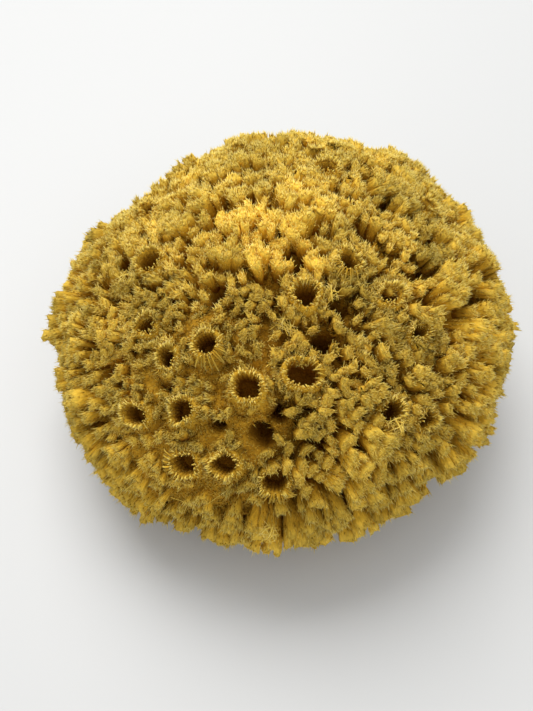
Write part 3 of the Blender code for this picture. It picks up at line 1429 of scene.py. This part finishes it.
    def _fine_ways(self, draw: np.random.Generator) -> Array:
        """Evenly spaced places for the lobes, clear of the vents, the gaps and the cut.

        Args:
            draw: For the random draws.

        Returns:
            Unit vectors, one a row.
        """
        dome = self.layout.dome
        ball = dome.scattered(draw, self.candidates)
        points = dome.tips(ball)
        keep = points[:, 2] > self.clear_of_cut
        keep &= draw.random(len(points)) > self.thinned_on_mat * dome.mat_share(points)
        for kind, room in ((Kind.VENT, 0.0), (Kind.GAP, self.clear_of_gap)):
            for centre, size in self.layout.openings(kind):
                keep &= np.linalg.norm(points - centre, axis=1) > size + room
        ball, points = ball[keep], points[keep]
        wider = (self.rim_pitch - 1.0) * self._rim_share(dome.outward(ball))
        apart = (self.pitch * (1.0 + wider)) ** 2
        held = np.empty((len(ball), 3))
        kept = []
        for number, point in enumerate(points):
            count = len(kept)
            if count and (((held[:count] - point) ** 2).sum(axis=1) < apart[number]).any():
                continue
            held[count] = point
            kept.append(number)
        return ball[kept]


@dataclass
class Ground:
    """The felted ground between the tufts, with its deep gaps, and the flat cut underneath."""

    layout: Layout
    subdivisions: int = 7
    gap_depth: float = 13.0
    gap_inset: float = 0.2
    throat_depth: float = 9.0
    throat_inset: float = 0.6
    edge_wobble: float = 0.9
    unevenness: float = 0.8
    mat_lift: float = 1.3
    colour_along: float = 0.26
    # How much painted shade the ground's colour gets.
    least_dark: float = 0.16
    dark_share: float = 0.56
    mat_light: float = 0.1
    gap_dark: float = 0.7
    cut_dark: float = 0.3
    cut_height: float = 8.0
    waves: int = 10
    wave_number: float = 0.9
    shade: Shade = Shade()
    pores: int = 34
    pore_radius: tuple[float, float] = (1.6, 3.6)
    pore_depth: tuple[float, float] = (3.0, 6.5)
    seed: int = 5

    def build(self) -> bpy.types.Object:
        """An icosphere pressed to the ground of the dome, pushed in at the gaps and under the vents.

        Returns:
            The object, at the origin.
        """
        bpy.ops.object.select_all(action="DESELECT")
        bpy.ops.mesh.primitive_ico_sphere_add(subdivisions=self.subdivisions, radius=1.0)
        thing = bpy.context.object
        thing.name = thing.data.name = "sponge_ground"
        mesh = thing.data
        ways = np.empty(len(mesh.vertices) * 3)
        mesh.vertices.foreach_get("co", ways)
        ways = unit(ways.reshape(-1, 3))
        points, sunk = self.pressed(ways)
        mesh.vertices.foreach_set("co", (points * MM).ravel())
        mesh.update()
        mesh.shade_smooth()
        along = np.full(len(points), self.colour_along)
        # depth carries the painted shade of the ground.
        keep_values(mesh, {"along": along, "tone": np.ones(len(points)), "depth": sunk})
        return thing

    def pressed(self, ways: Array) -> tuple[Array, Array]:
        """Where the ground lies at each place, and how much painted shade its colour gets.

        Args:
            ways: Unit vectors, one a row.

        Returns:
            Points, and painted shade shares from 0 to 1.
        """
        dome, layout = self.layout.dome, self.layout
        points = dome.at_depth(ways, dome.lengths(ways))
        outward = dome.outward(ways)
        wobble = self.edge_wobble * self._waves(0.7 * points)
        push = np.zeros(len(ways))
        for kind, inset, depth in (
            (Kind.GAP, self.gap_inset, self.gap_depth),
            (Kind.VENT, self.throat_inset, self.throat_depth),
        ):
            for foot, axis, (_, size) in zip(*layout.axes(kind, 0.0), layout.openings(kind)):
                radius = size - inset
                away = points - foot
                off = np.linalg.norm(away - axis * (away @ axis)[:, None], axis=1) + wobble
                near = (np.linalg.norm(away, axis=1) < 3.0 * radius) & (outward @ axis > 0.5)
                push = np.maximum(push, np.where(near, depth * smooth_step((radius + 1.0 - off) / 2.0), 0.0))
        wave = self._waves(points)
        above = smooth_step(points[:, 2] / 6.0)
        mat = dome.mat_share(dome.tips(ways))
        lift = self.mat_lift * mat * (1.0 - push / self.gap_depth)
        points = points + outward * ((lift - push - self.unevenness * wave) * above)[:, None]
        points[:, 2] = np.maximum(points[:, 2], 0.0)
        # Painted shade: the Shade pattern, less on the matted ground, more deep in the gaps; low down and on
        # the cut, a fixed share that grows deep in the pores.
        dark = self.least_dark + self.dark_share * self.shade.at(points)
        sunk = np.clip(dark - self.mat_light * mat + self.gap_dark * push / self.gap_depth, 0.0, 1.0)
        hollow = self._pored(points)
        points[:, 2] += hollow
        in_pore = np.maximum(self.cut_dark, hollow / self.pore_depth[1])
        return points, np.where(points[:, 2] < self.cut_height, in_pore, sunk)

    def _pored(self, points: Array) -> Array:
        """How far the pores of the cut reach up into the sponge.

        Args:
            points: Points of the ground.

        Returns:
            One height for each point, 0 off the cut.
        """
        draw = np.random.default_rng(self.seed + 1)
        cut = points[:, 2] <= 0.0
        reach = np.hypot(points[cut, 0], points[cut, 1]).max(initial=1.0)
        hollow = np.zeros(len(points))
        for _ in range(self.pores):
            way, out = draw.uniform(0.0, FULL_TURN), 0.85 * reach * math.sqrt(draw.random())
            radius, depth = draw.uniform(*self.pore_radius), draw.uniform(*self.pore_depth)
            off = np.hypot(points[:, 0] - out * math.cos(way), points[:, 1] - out * math.sin(way))
            hollow = np.maximum(hollow, depth * smooth_step((radius - off) / (0.5 * radius)) * cut)
        return hollow

    def _waves(self, points: Array) -> Array:
        """Small smooth bumps all over.

        Args:
            points: Where they are wanted.

        Returns:
            Heights from -1 to 1.
        """
        draw = np.random.default_rng(self.seed)
        total = np.zeros(len(points))
        for _ in range(self.waves):
            course = draw.normal(size=3) * self.wave_number
            total += np.sin(points @ course + draw.uniform(0.0, 6.28)) / 3.2
        return np.clip(total, -1.0, 1.0)


@dataclass(frozen=True)
class Comb:
    """A row of ribs on part of a vent's rim, in degrees round it, that reach outwards and curl in or out."""

    vent: int
    start: float
    stop: float
    ribs: int
    reach: float
    inward: bool = True


@dataclass
class VentPlace:
    """One vent where it stands, with the sway and the rise of its uneven rim as wave numbers."""

    vent: Vent
    foot: Array
    axis: Array
    sway: Array
    rise: Array

    def spoke(self, turn: Array) -> Array:
        """Unit vectors square to the axis, at these angles."""
        level = unit(np.array([self.axis[2], 0.0, -self.axis[0]]))
        return level * np.cos(turn)[:, None] + np.cross(self.axis, level) * np.sin(turn)[:, None]

    def ring(self, turn: Array, radius: Array | float, height: Array | float) -> Array:
        """Points round the axis.

        Args:
            turn: The angles.
            radius: How far out.
            height: How far up from the foot.

        Returns:
            One point for each angle.
        """
        radius = radius + self._wave(turn, self.sway, 2)
        height = height + self._wave(turn, self.rise, 1) * smooth_step(np.asarray(height) / self.vent.height)
        up = self.axis * np.reshape(height, (-1, 1))
        return self.foot + up + self.spoke(turn) * np.reshape(radius, (-1, 1))

    @staticmethod
    def _wave(turn: Array, numbers: Array, first: int) -> Array:
        """A smooth uneven wave round a ring.

        Args:
            turn: The angles.
            numbers: How strong each cosine and sine is, a pair a row.
            first: How often the slowest one goes round.

        Returns:
            One height for each angle.
        """
        return sum(
            (a * np.cos((k + first) * turn) + b * np.sin((k + first) * turn)) / (k + 1.5)
            for k, (a, b) in enumerate(numbers)
        )


@dataclass
class VentTubes:
    """The raised vents: tubes on soft slopes, each with a thick ragged crown and a ribbed throat."""

    layout: Layout
    upright: float = 0.3
    ribs: int = 19
    segments: int = 38
    rib_depth: float = 0.25
    unevenness: float = 0.38
    fuzz_each: int = 420
    fuzz_widths: tuple[float, float] = (0.28, 0.4)
    fuzz_inside: tuple[float, float] = (0.5, 1.1)
    fuzz_outside: tuple[float, float] = (1.0, 2.4)
    fuzz_bend: float = 0.14
    fuzz_stray: float = 0.45
    crown_each: int = 120
    crown_widths: tuple[float, float] = (0.42, 0.68)
    crown_reach: tuple[float, float] = (0.4, 1.9)
    crown_up: tuple[float, float] = (0.8, 2.2)
    crown_inward: float = 0.13
    crown_stray: float = 0.16
    clumps_per_mouth: float = 5.5
    least_clumps: int = 9
    clump_width: float = 2.2
    clump_splay: float = 0.55
    inward_reach: tuple[float, float] = (-1.0, -0.3)
    inward_up: tuple[float, float] = (0.2, 1.2)
    collar_pitch: float = 2.3
    collar_girth: tuple[float, float] = (0.85, 1.3)
    comb_widths: tuple[float, float] = (0.5, 0.85)
    comb_jitter: float = 6.5
    comb_stray: float = 0.55
    tone_spread: float = 0.14
    comb_list: tuple[Comb, ...] = (
        Comb(9, 40.0, 215.0, 15, 0.7),
        Comb(6, -65.0, 75.0, 13, 0.7),
        Comb(7, -110.0, 60.0, 12, 0.6),
        Comb(8, 50.0, 150.0, 8, 0.4),
        Comb(15, -120.0, -15.0, 11, 2.0, False),
        Comb(3, 110.0, 200.0, 7, 1.2, False),
        Comb(5, -140.0, -40.0, 10, 2.2, False),
        Comb(10, -170.0, -60.0, 10, 1.6, False),
    )
    seed: int = 33

    @staticmethod
    def profile(vent: Vent) -> Array:
        """The outline of a wall, from the foot over the rim and down the throat.

        Args:
            vent: The vent.

        Returns:
            A radius and a height over the foot, one pair a row.
        """
        rim = vent.height - 0.7
        lip = vent.mouth + 1.1
        return np.array(
            [
                (vent.outside + 2.2, -2.0),
                (vent.outside + 0.4, 0.2 * rim),
                (0.5 * (vent.outside + lip), 0.55 * rim),
                (lip + 0.5, rim - 1.6),
                (lip, rim - 0.5),
                (vent.mouth + 0.25, rim - 0.6),
                (vent.mouth, rim - 2.2),
                (0.88 * vent.mouth, rim - 7.0),
                (0.6 * vent.mouth, rim - 12.0),
            ]
        )

    def places(self) -> list[VentPlace]:
        """Each vent where it stands, with the unevenness of its rim.

        Returns:
            One place for each vent, in the layout's order.
        """
        draw = np.random.default_rng(self.seed)
        feet, axes = self.layout.axes(Kind.VENT, self.upright)
        sway = draw.normal(size=(len(feet), 3, 2)) * self.unevenness
        rise = draw.normal(size=(len(feet), 3, 2)) * self.unevenness
        return [VentPlace(*each) for each in zip(self.layout.vents, feet, axes, sway, rise)]

    def build(self) -> bpy.types.Object:
        """All the walls as one object, with ribs down the insides.

        Returns:
            The object, at the origin.
        """
        points, faces, sunk, along = [], [], [], []
        turn = np.arange(self.segments) * FULL_TURN / self.segments
        for place in self.places():
            first = sum(len(p) for p in points)
            height = place.vent.height
            outline = self.profile(place.vent)
            for number, (radius, level) in enumerate(outline):
                inner = smooth_step((number - 4.0) / 2.0)
                ribbed = inner * self.rib_depth * np.cos(self.ribs * turn)
                points.append(place.ring(turn, radius + ribbed, level))
                # Painted shade: darker low on the outside and deep down the throat, where the colour also
                # sits lower on the ramp.
                depth = np.clip(0.5 - 0.45 * level / height + 0.9 * inner * (height - level) / 8.0, 0.0, 1.0)
                sunk.append(np.full(self.segments, depth))
                along.append(np.full(self.segments, 0.45 - 0.2 * inner))
            points.append(place.foot + place.axis * [[outline[0][1]], [outline[-1][1]]])
            sunk.append(np.ones(2))
            along.append(np.zeros(2))
            faces.append(tube_faces(self.segments, len(outline)) + first)
        count = sum(len(p) for p in points)
        shares = {"along": np.concatenate(along), "tone": np.ones(count), "depth": np.concatenate(sunk)}
        return mesh_object("vent_walls", np.concatenate(points), np.concatenate(faces), shares)

    def crowns(self) -> Strands:
        """The crown round each mouth: clumped fibres that rise from the lip and curl outwards, a few inwards.

        Returns:
            The fibres.
        """
        draw = np.random.default_rng(self.seed + 2)
        count = self.crown_each
        groups = []
        for place in self.places():
            vent, axis = place.vent, place.axis
            clumps = max(self.least_clumps, round(self.clumps_per_mouth * vent.mouth))
            clump = draw.integers(0, clumps, count)
            middle = (clump + draw.uniform(-0.3, 0.3, clumps)[clump]) * FULL_TURN / clumps
            turn = middle + draw.normal(size=count) * self.clump_width / clumps
            head = place.spoke(middle + self.clump_splay * (turn - middle))
            inward = draw.random(count) < self.crown_inward
            out = draw.uniform(0.0, 1.0, count)
            low = 0.3 + 1.6 * out + draw.uniform(0.0, 0.4, count)
            roots = place.ring(turn, vent.mouth + 0.1 + 0.9 * out, vent.height - low)
            stand = draw.uniform(0.45, 0.95, clumps)[clump]
            ranges = ((self.inward_reach, self.crown_reach), (self.inward_up, self.crown_up))
            reach, up = (
                np.where(inward, draw.uniform(*within, count), draw.uniform(*beyond, count)) * stand
                for within, beyond in ranges
            )
            tips = roots + head * reach[:, None] + axis * (up + 0.6 * (1.0 - out))[:, None]
            tips = tips + draw.normal(size=tips.shape) * self.crown_stray
            groups.append(
                Strands(
                    roots=roots,
                    tips=tips,
                    widths=draw.uniform(*self.crown_widths, count),
                    bends=axis * draw.uniform(0.05, 0.4, count)[:, None] - head * 0.1,
                    tones=1.02 + draw.normal(size=count) * self.tone_spread,
                    # Painted shade: more on fibres that curl into the mouth and on those rooted lower outside
                    # the lip.
                    depths=np.where(inward, 0.3, 0.18 * out),
                    starts=np.full(count, 0.5),
                )
            )
        return Strands.joined(groups)

    def combs(self) -> Strands:
        """The stout parallel ribs that curl over part of a rim, into the mouth or down outside it.

        Returns:
            The ribs, as stout fibres.
        """
        draw = np.random.default_rng(self.seed + 3)
        places = self.places()
        groups = []
        for comb in self.comb_list:
            place = places[comb.vent]
            vent, axis = place.vent, place.axis
            count = comb.ribs
            jitter = draw.uniform(-self.comb_jitter, self.comb_jitter, count)
            turn = np.radians(np.linspace(comb.start, comb.stop, count) + jitter)
            swell = np.sin(np.linspace(0.35, math.pi - 0.35, count))
            reach = comb.reach * swell
            if comb.inward:
                roots = place.ring(turn, vent.mouth + 1.0 + reach, vent.height - 0.5)
                tips = place.ring(turn, (0.86 - 0.16 * swell) * vent.mouth, vent.height - 1.5)
            else:
                roots = place.ring(turn, vent.mouth + 0.2, vent.height - 0.2)
                tips = place.ring(turn, vent.outside + reach, vent.height - 2.2 - 0.9 * reach)
            groups.append(
                Strands(
                    roots=roots,
                    tips=tips + draw.normal(size=tips.shape) * self.comb_stray,
                    widths=draw.uniform(*self.comb_widths, count),
                    bends=axis * (0.7 + 0.5 * swell)[:, None] + place.spoke(turn) * 0.7 * (not comb.inward),
                    tones=0.86 + draw.normal(size=count) * 0.12,
                    depths=draw.uniform(0.05, 0.3, count),
                    starts=np.full(count, 0.3),
                )
            )
        return Strands.joined(groups)

    def collars(self) -> Lobes:
        """The short lobes that lean on each tube from outside, few of them on the matted ground.

        Returns:
            The lobes.
        """
        draw = np.random.default_rng(self.seed + 4)
        dome = self.layout.dome
        roots, tips = [], []
        for place in self.places():
            vent = place.vent
            mat = dome.mat_share(place.foot[None])[0]
            count = round(FULL_TURN * (vent.outside + 0.6) / self.collar_pitch * (1.0 - 0.8 * mat))
            turn = (np.arange(count) + draw.uniform(-0.35, 0.35, count)) * FULL_TURN / max(count, 1)
            roots.append(place.ring(turn, vent.outside + draw.uniform(0.4, 1.6, count), -0.5))
            high = vent.height - draw.uniform(0.2, 3.4, count)
            tips.append(place.ring(turn, vent.mouth + draw.uniform(1.7, 3.4, count), high))
        roots, tips = np.concatenate(roots), np.concatenate(tips)
        return Lobes.grown(
            draw,
            roots=roots,
            tips=tips,
            radii=draw.uniform(*self.collar_girth, len(roots)),
            tones=1.0 + 0.06 * draw.normal(size=len(roots)),
            # Painted shade at the roots of the collar lobes.
            feet=np.full(len(roots), 0.9),
            bow=np.full(len(roots), 0.4),
            laid=np.full(len(roots), 0.3),
        )

    def fuzz(self) -> Strands:
        """Soft short fibres all over the slopes and down the throats.

        Returns:
            The fibres.
        """
        draw = np.random.default_rng(self.seed + 1)
        count = self.fuzz_each
        groups = []
        for place in self.places():
            height = place.vent.height
            outline = self.profile(place.vent)[:8]
            reached = np.concatenate([[0.0], np.cumsum(np.linalg.norm(np.diff(outline, axis=0), axis=1))])
            where = draw.random(count) * reached[-1]
            turn = draw.uniform(0.0, FULL_TURN, count)
            level = np.interp(where, reached, outline[:, 1])
            spoke = place.spoke(turn)
            inside = where > reached[5]
            course = spoke * np.where(inside, -0.25, 0.8)[:, None]
            course = course + place.axis * np.where(inside, 0.9, 0.75)[:, None]
            course = unit(course + draw.normal(size=spoke.shape) * self.fuzz_stray)
            short, long = draw.uniform(*self.fuzz_inside, count), draw.uniform(*self.fuzz_outside, count)
            length = np.where(inside, short, long)
            roots = place.ring(turn, np.interp(where, reached, outline[:, 0]), level)
            shade = np.where(inside, 0.2 + (height - level) / 8.0, 0.5 - 0.5 * level / height)
            groups.append(
                Strands(
                    roots=roots,
                    tips=roots + course * length[:, None],
                    widths=draw.uniform(*self.fuzz_widths, count),
                    bends=draw.normal(size=spoke.shape) * self.fuzz_bend,
                    tones=1.0 + draw.normal(size=count) * self.tone_spread,
                    depths=np.clip(shade, 0.0, 1.0),
                    starts=np.full(count, 0.35),
                )
            )
        return Strands.joined(groups)


@dataclass(frozen=True)
class Net:
    """A patch of lace-like fibre: where it is seen from above, how wide it is, and how deep it hangs."""

    x: float
    y: float
    reach: float
    depth: float
    strands: int


@dataclass
class Lace:
    """The open nets of bare fibre that hang in a few hollows, and one long loose hair."""

    dome: Dome
    nets: tuple[Net, ...] = (
        Net(0.0, -27.5, 3.2, 5.0, 26),
        Net(-4.5, -70.5, 2.8, 3.5, 22),
        Net(29.0, -49.5, 3.0, 3.6, 24),
        Net(12.0, -19.0, 3.0, 4.0, 22),
        Net(-46.0, -8.0, 2.6, 3.0, 16),
    )
    net_widths: tuple[float, float] = (0.2, 0.34)
    net_sag: float = 1.2
    hair: tuple[tuple[float, float], ...] = ((-30.5, -63.5), (-22.0, -66.5), (-14.5, -64.8))
    hair_widths: tuple[float, float] = (0.14, 0.15)
    hair_sag: float = 0.3
    hair_over: float = 0.6
    seed: int = 91

    def fibres(self) -> Strands:
        """Fibres that cross each hollow from edge to edge and sag between, then the hair in two lengths.

        Returns:
            The fibres.
        """
        draw = np.random.default_rng(self.seed)
        groups = []
        for net in self.nets:
            middle = self.dome.tips(self.dome.above(np.array([[net.x, net.y]])))[0]
            start = draw.uniform(0.0, FULL_TURN, net.strands)
            stop = start + draw.uniform(1.6, 3.6, net.strands)
            ends = []
            for turn in (start, stop):
                ring = np.stack([np.cos(turn), np.sin(turn), np.zeros(net.strands)], axis=1) * net.reach
                ends.append(middle + ring + [0.0, 0.0, -net.depth] + draw.normal(size=ring.shape) * 0.6)
            groups.append(self._drawn(draw, *ends, self.net_widths, self.net_sag))
        line = self.dome.tips(self.dome.above(np.array(self.hair))) + [0.0, 0.0, self.hair_over]
        groups.append(self._drawn(draw, line[:-1], line[1:], self.hair_widths, self.hair_sag))
        return Strands.joined(groups)

    @staticmethod
    def _drawn(
        draw: np.random.Generator,
        roots: Array,
        tips: Array,
        widths: tuple[float, float],
        sag: float,
    ) -> Strands:
        """Pale fibres between two sets of ends.

        Args:
            draw: For the random draws.
            roots: The ends that they start from.
            tips: The ends that they reach.
            widths: The least and the greatest width.
            sag: About how far they bow to either side.

        Returns:
            The fibres.
        """
        count = len(roots)
        return Strands(
            roots=roots,
            tips=tips,
            widths=draw.uniform(*widths, count),
            bends=draw.normal(size=(count, 3)) * sag * 0.5,
            tones=1.05 + draw.normal(size=count) * 0.1,
            depths=np.full(count, 0.05),
            starts=np.full(count, 0.6),
        )


@dataclass
class Felt:
    """Short curled fibres matted all over the ground, thickest between the vents and in the gaps."""

    ground: Ground
    count: int = 16500
    candidates_each: int = 12
    everywhere: float = 0.05
    crest_at: tuple[float, float] = (-4.0, -5.0)
    crest_reach: float = 12.0
    opening_reach: float = 6.5
    lengths: tuple[float, float] = (0.8, 2.0)
    widths: tuple[float, float] = (0.28, 0.42)
    rise: tuple[float, float] = (0.15, 1.1)
    bend: float = 0.25
    tone_spread: float = 0.15
    seed: int = 61

    def fibres(self) -> Strands:
        """The fibres, lying over in every direction.

        Returns:
            The fibres.
        """
        draw = np.random.default_rng(self.seed)
        layout = self.ground.layout
        dome = layout.dome
        ball = unit(draw.normal(size=(self.count * self.candidates_each, 3)))
        tips = dome.tips(ball)
        off_crest = np.hypot(tips[:, 0] - self.crest_at[0], tips[:, 1] - self.crest_at[1])
        wanted = self.everywhere + dome.mat_share(tips)
        wanted += np.exp(-((off_crest / self.crest_reach) ** 2)) * (tips[:, 2] > dome.middle[2])
        for kind in (Kind.GAP, Kind.VENT):
            for centre, size in layout.openings(kind):
                inside = size + self.opening_reach - np.linalg.norm(tips - centre, axis=1)
                wanted = np.maximum(wanted, smooth_step(inside / 4.0))
        wanted *= tips[:, 2] > 1.0
        ball = ball[draw.random(len(ball)) < wanted][: self.count]
        roots, sunk = self.ground.pressed(ball)
        outward = dome.outward(ball)
        course = draw.normal(size=roots.shape)
        course = unit(flattened(course, outward))
        course = unit(course + outward * draw.uniform(*self.rise, (len(ball), 1)))
        length = draw.uniform(*self.lengths, len(ball))
        return Strands(
            roots=roots,
            tips=roots + course * length[:, None],
            widths=draw.uniform(*self.widths, len(ball)),
            bends=draw.normal(size=roots.shape) * self.bend,
            tones=1.0 + draw.normal(size=len(ball)) * self.tone_spread,
            # Painted shade from the ground under each root, a little lighter.
            depths=np.clip(sunk - 0.12, 0.0, 1.0),
            starts=np.full(len(ball), 0.15),
        )


@dataclass(frozen=True)
class Studio:
    """The pale floor, the soft light and the camera at the photograph's viewing angle."""

    elevation: float = 57.0
    target: tuple[float, float, float] = (-4.83, -8.59, 32.42)
    distance: float = 270.0
    lens: float = 42.1
    floor_width: float = 6.0
    floor_colour: tuple[float, float, float] = (0.54, 0.538, 0.528)
    world_colour: tuple[float, float, float] = (0.97, 0.985, 1.0)
    world_strength: float = 0.84
    lamp_size: float = 0.8
    key_at: tuple[float, float, float] = (-0.18, 0.52, 1.0)
    key_power: float = 11.5
    fill_at: tuple[float, float, float] = (0.5, -0.9, 0.8)
    fill_power: float = 1.8

    def build(self) -> None:
        """Makes the floor, the light and the camera."""
        self._floor()
        self._world()
        self._lamp("key_light", self.key_at, self.key_power)
        self._lamp("fill_light", self.fill_at, self.fill_power)
        self._camera()

    def _floor(self) -> None:
        """A wide pale floor under the sponge."""
        bpy.ops.object.select_all(action="DESELECT")
        bpy.ops.mesh.primitive_plane_add(size=self.floor_width, location=(0.0, 0.0, 0.0))
        floor = bpy.context.object
        floor.name = "floor"
        material = bpy.data.materials.new("pale_floor")
        material.use_nodes = True
        shader = material.node_tree.nodes["Principled BSDF"]
        shader.inputs["Base Color"].default_value = (*self.floor_colour, 1.0)
        shader.inputs["Roughness"].default_value = 0.45
        floor.data.materials.append(material)

    def _world(self) -> None:
        """Even light from all round."""
        world = bpy.data.worlds.new("studio")
        world.use_nodes = True
        background = world.node_tree.nodes["Background"]
        background.inputs["Color"].default_value = (*self.world_colour, 1.0)
        background.inputs["Strength"].default_value = self.world_strength
        bpy.context.scene.world = world
        bpy.context.scene.view_settings.view_transform = "Standard"

    def _lamp(self, name: str, place: tuple[float, float, float], power: float) -> None:
        """A square soft light that faces the sponge.

        Args:
            name: The lamp's name.
            place: Where it hangs, in metres.
            power: Its power in watts.
        """
        data = bpy.data.lights.new(name, "AREA")
        data.size = self.lamp_size
        data.energy = power
        lamp = bpy.data.objects.new(name, data)
        lamp.location = place
        bpy.context.scene.collection.objects.link(lamp)
        x, y, z = place
        lamp.rotation_euler = (math.atan2(math.hypot(x, y), z - 0.04), 0.0, math.atan2(x, -y))

    def _camera(self) -> None:
        """The camera in front of the sponge and above it."""
        data = bpy.data.cameras.new("camera")
        data.lens = self.lens
        data.sensor_width = 36.0
        data.clip_start = 0.01
        camera = bpy.data.objects.new("camera", data)
        tilt = math.radians(self.elevation)
        x, y, z = self.target
        back = (0.0, -math.cos(tilt) * self.distance, math.sin(tilt) * self.distance)
        camera.location = (x * MM, (y + back[1]) * MM, (z + back[2]) * MM)
        camera.rotation_euler = (math.radians(90.0 - self.elevation), 0.0, 0.0)
        bpy.context.scene.collection.objects.link(camera)
        bpy.context.scene.camera = camera


def main() -> None:
    """Builds the sponge piece by piece, then the studio."""
    logging.basicConfig(level=logging.INFO, format="%(name)s: %(message)s")
    layout = Layout(Dome())
    tufts = Tufts(layout)
    log.info("%d sites, %d lobes", len(layout.kinds), len(tufts.lobes.tips))
    felt = FibreFinish("felted_ground", Grain.FELTED).material()
    bodies = FibreFinish("felted_lobes", Grain.ALONG_THE_LOBE).material()
    golden = FibreFinish("golden_fibre").material()

    ground = Ground(layout)
    skin = dressed(ground.build(), felt)
    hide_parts(NODE)
    dressed(strand_object("ground_felt", Felt(ground).fibres().clear_of_the_floor(), SpikeForm()), golden)

    dressed(tufts.lobes.build("tuft_lobes"), bodies)
    clothing = tufts.lobes.brushed(Brush(each=56, seed=77)).clear_of_the_floor()
    for number in range(TUFT_FIBRE_PIECES):
        share = clothing.pick(np.arange(number, len(clothing), TUFT_FIBRE_PIECES))
        dressed(strand_object(f"tuft_fibres_{number + 1}", share, SpikeForm()), golden)

    tubes = VentTubes(layout)
    dressed(tubes.build(), felt)
    for name, strands, form in (
        ("vent_fuzz", tubes.fuzz().clear_of_the_floor(), SpikeForm()),
        ("vent_crowns", tubes.crowns(), SpikeForm(rings=2)),
        ("vent_combs", tubes.combs(), SpikeForm(rings=5)),
        ("lace", Lace(layout.dome).fibres(), SpikeForm(rings=4)),
    ):
        dressed(strand_object(name, strands, form), golden)
    collars = tubes.collars()
    dressed(collars.build("collar_lobes"), bodies)
    dressed(strand_object("collar_fibres", collars.brushed(Brush(each=44, seed=79)), SpikeForm()), golden)

    Studio().build()


if __name__ == "__main__":
    main()
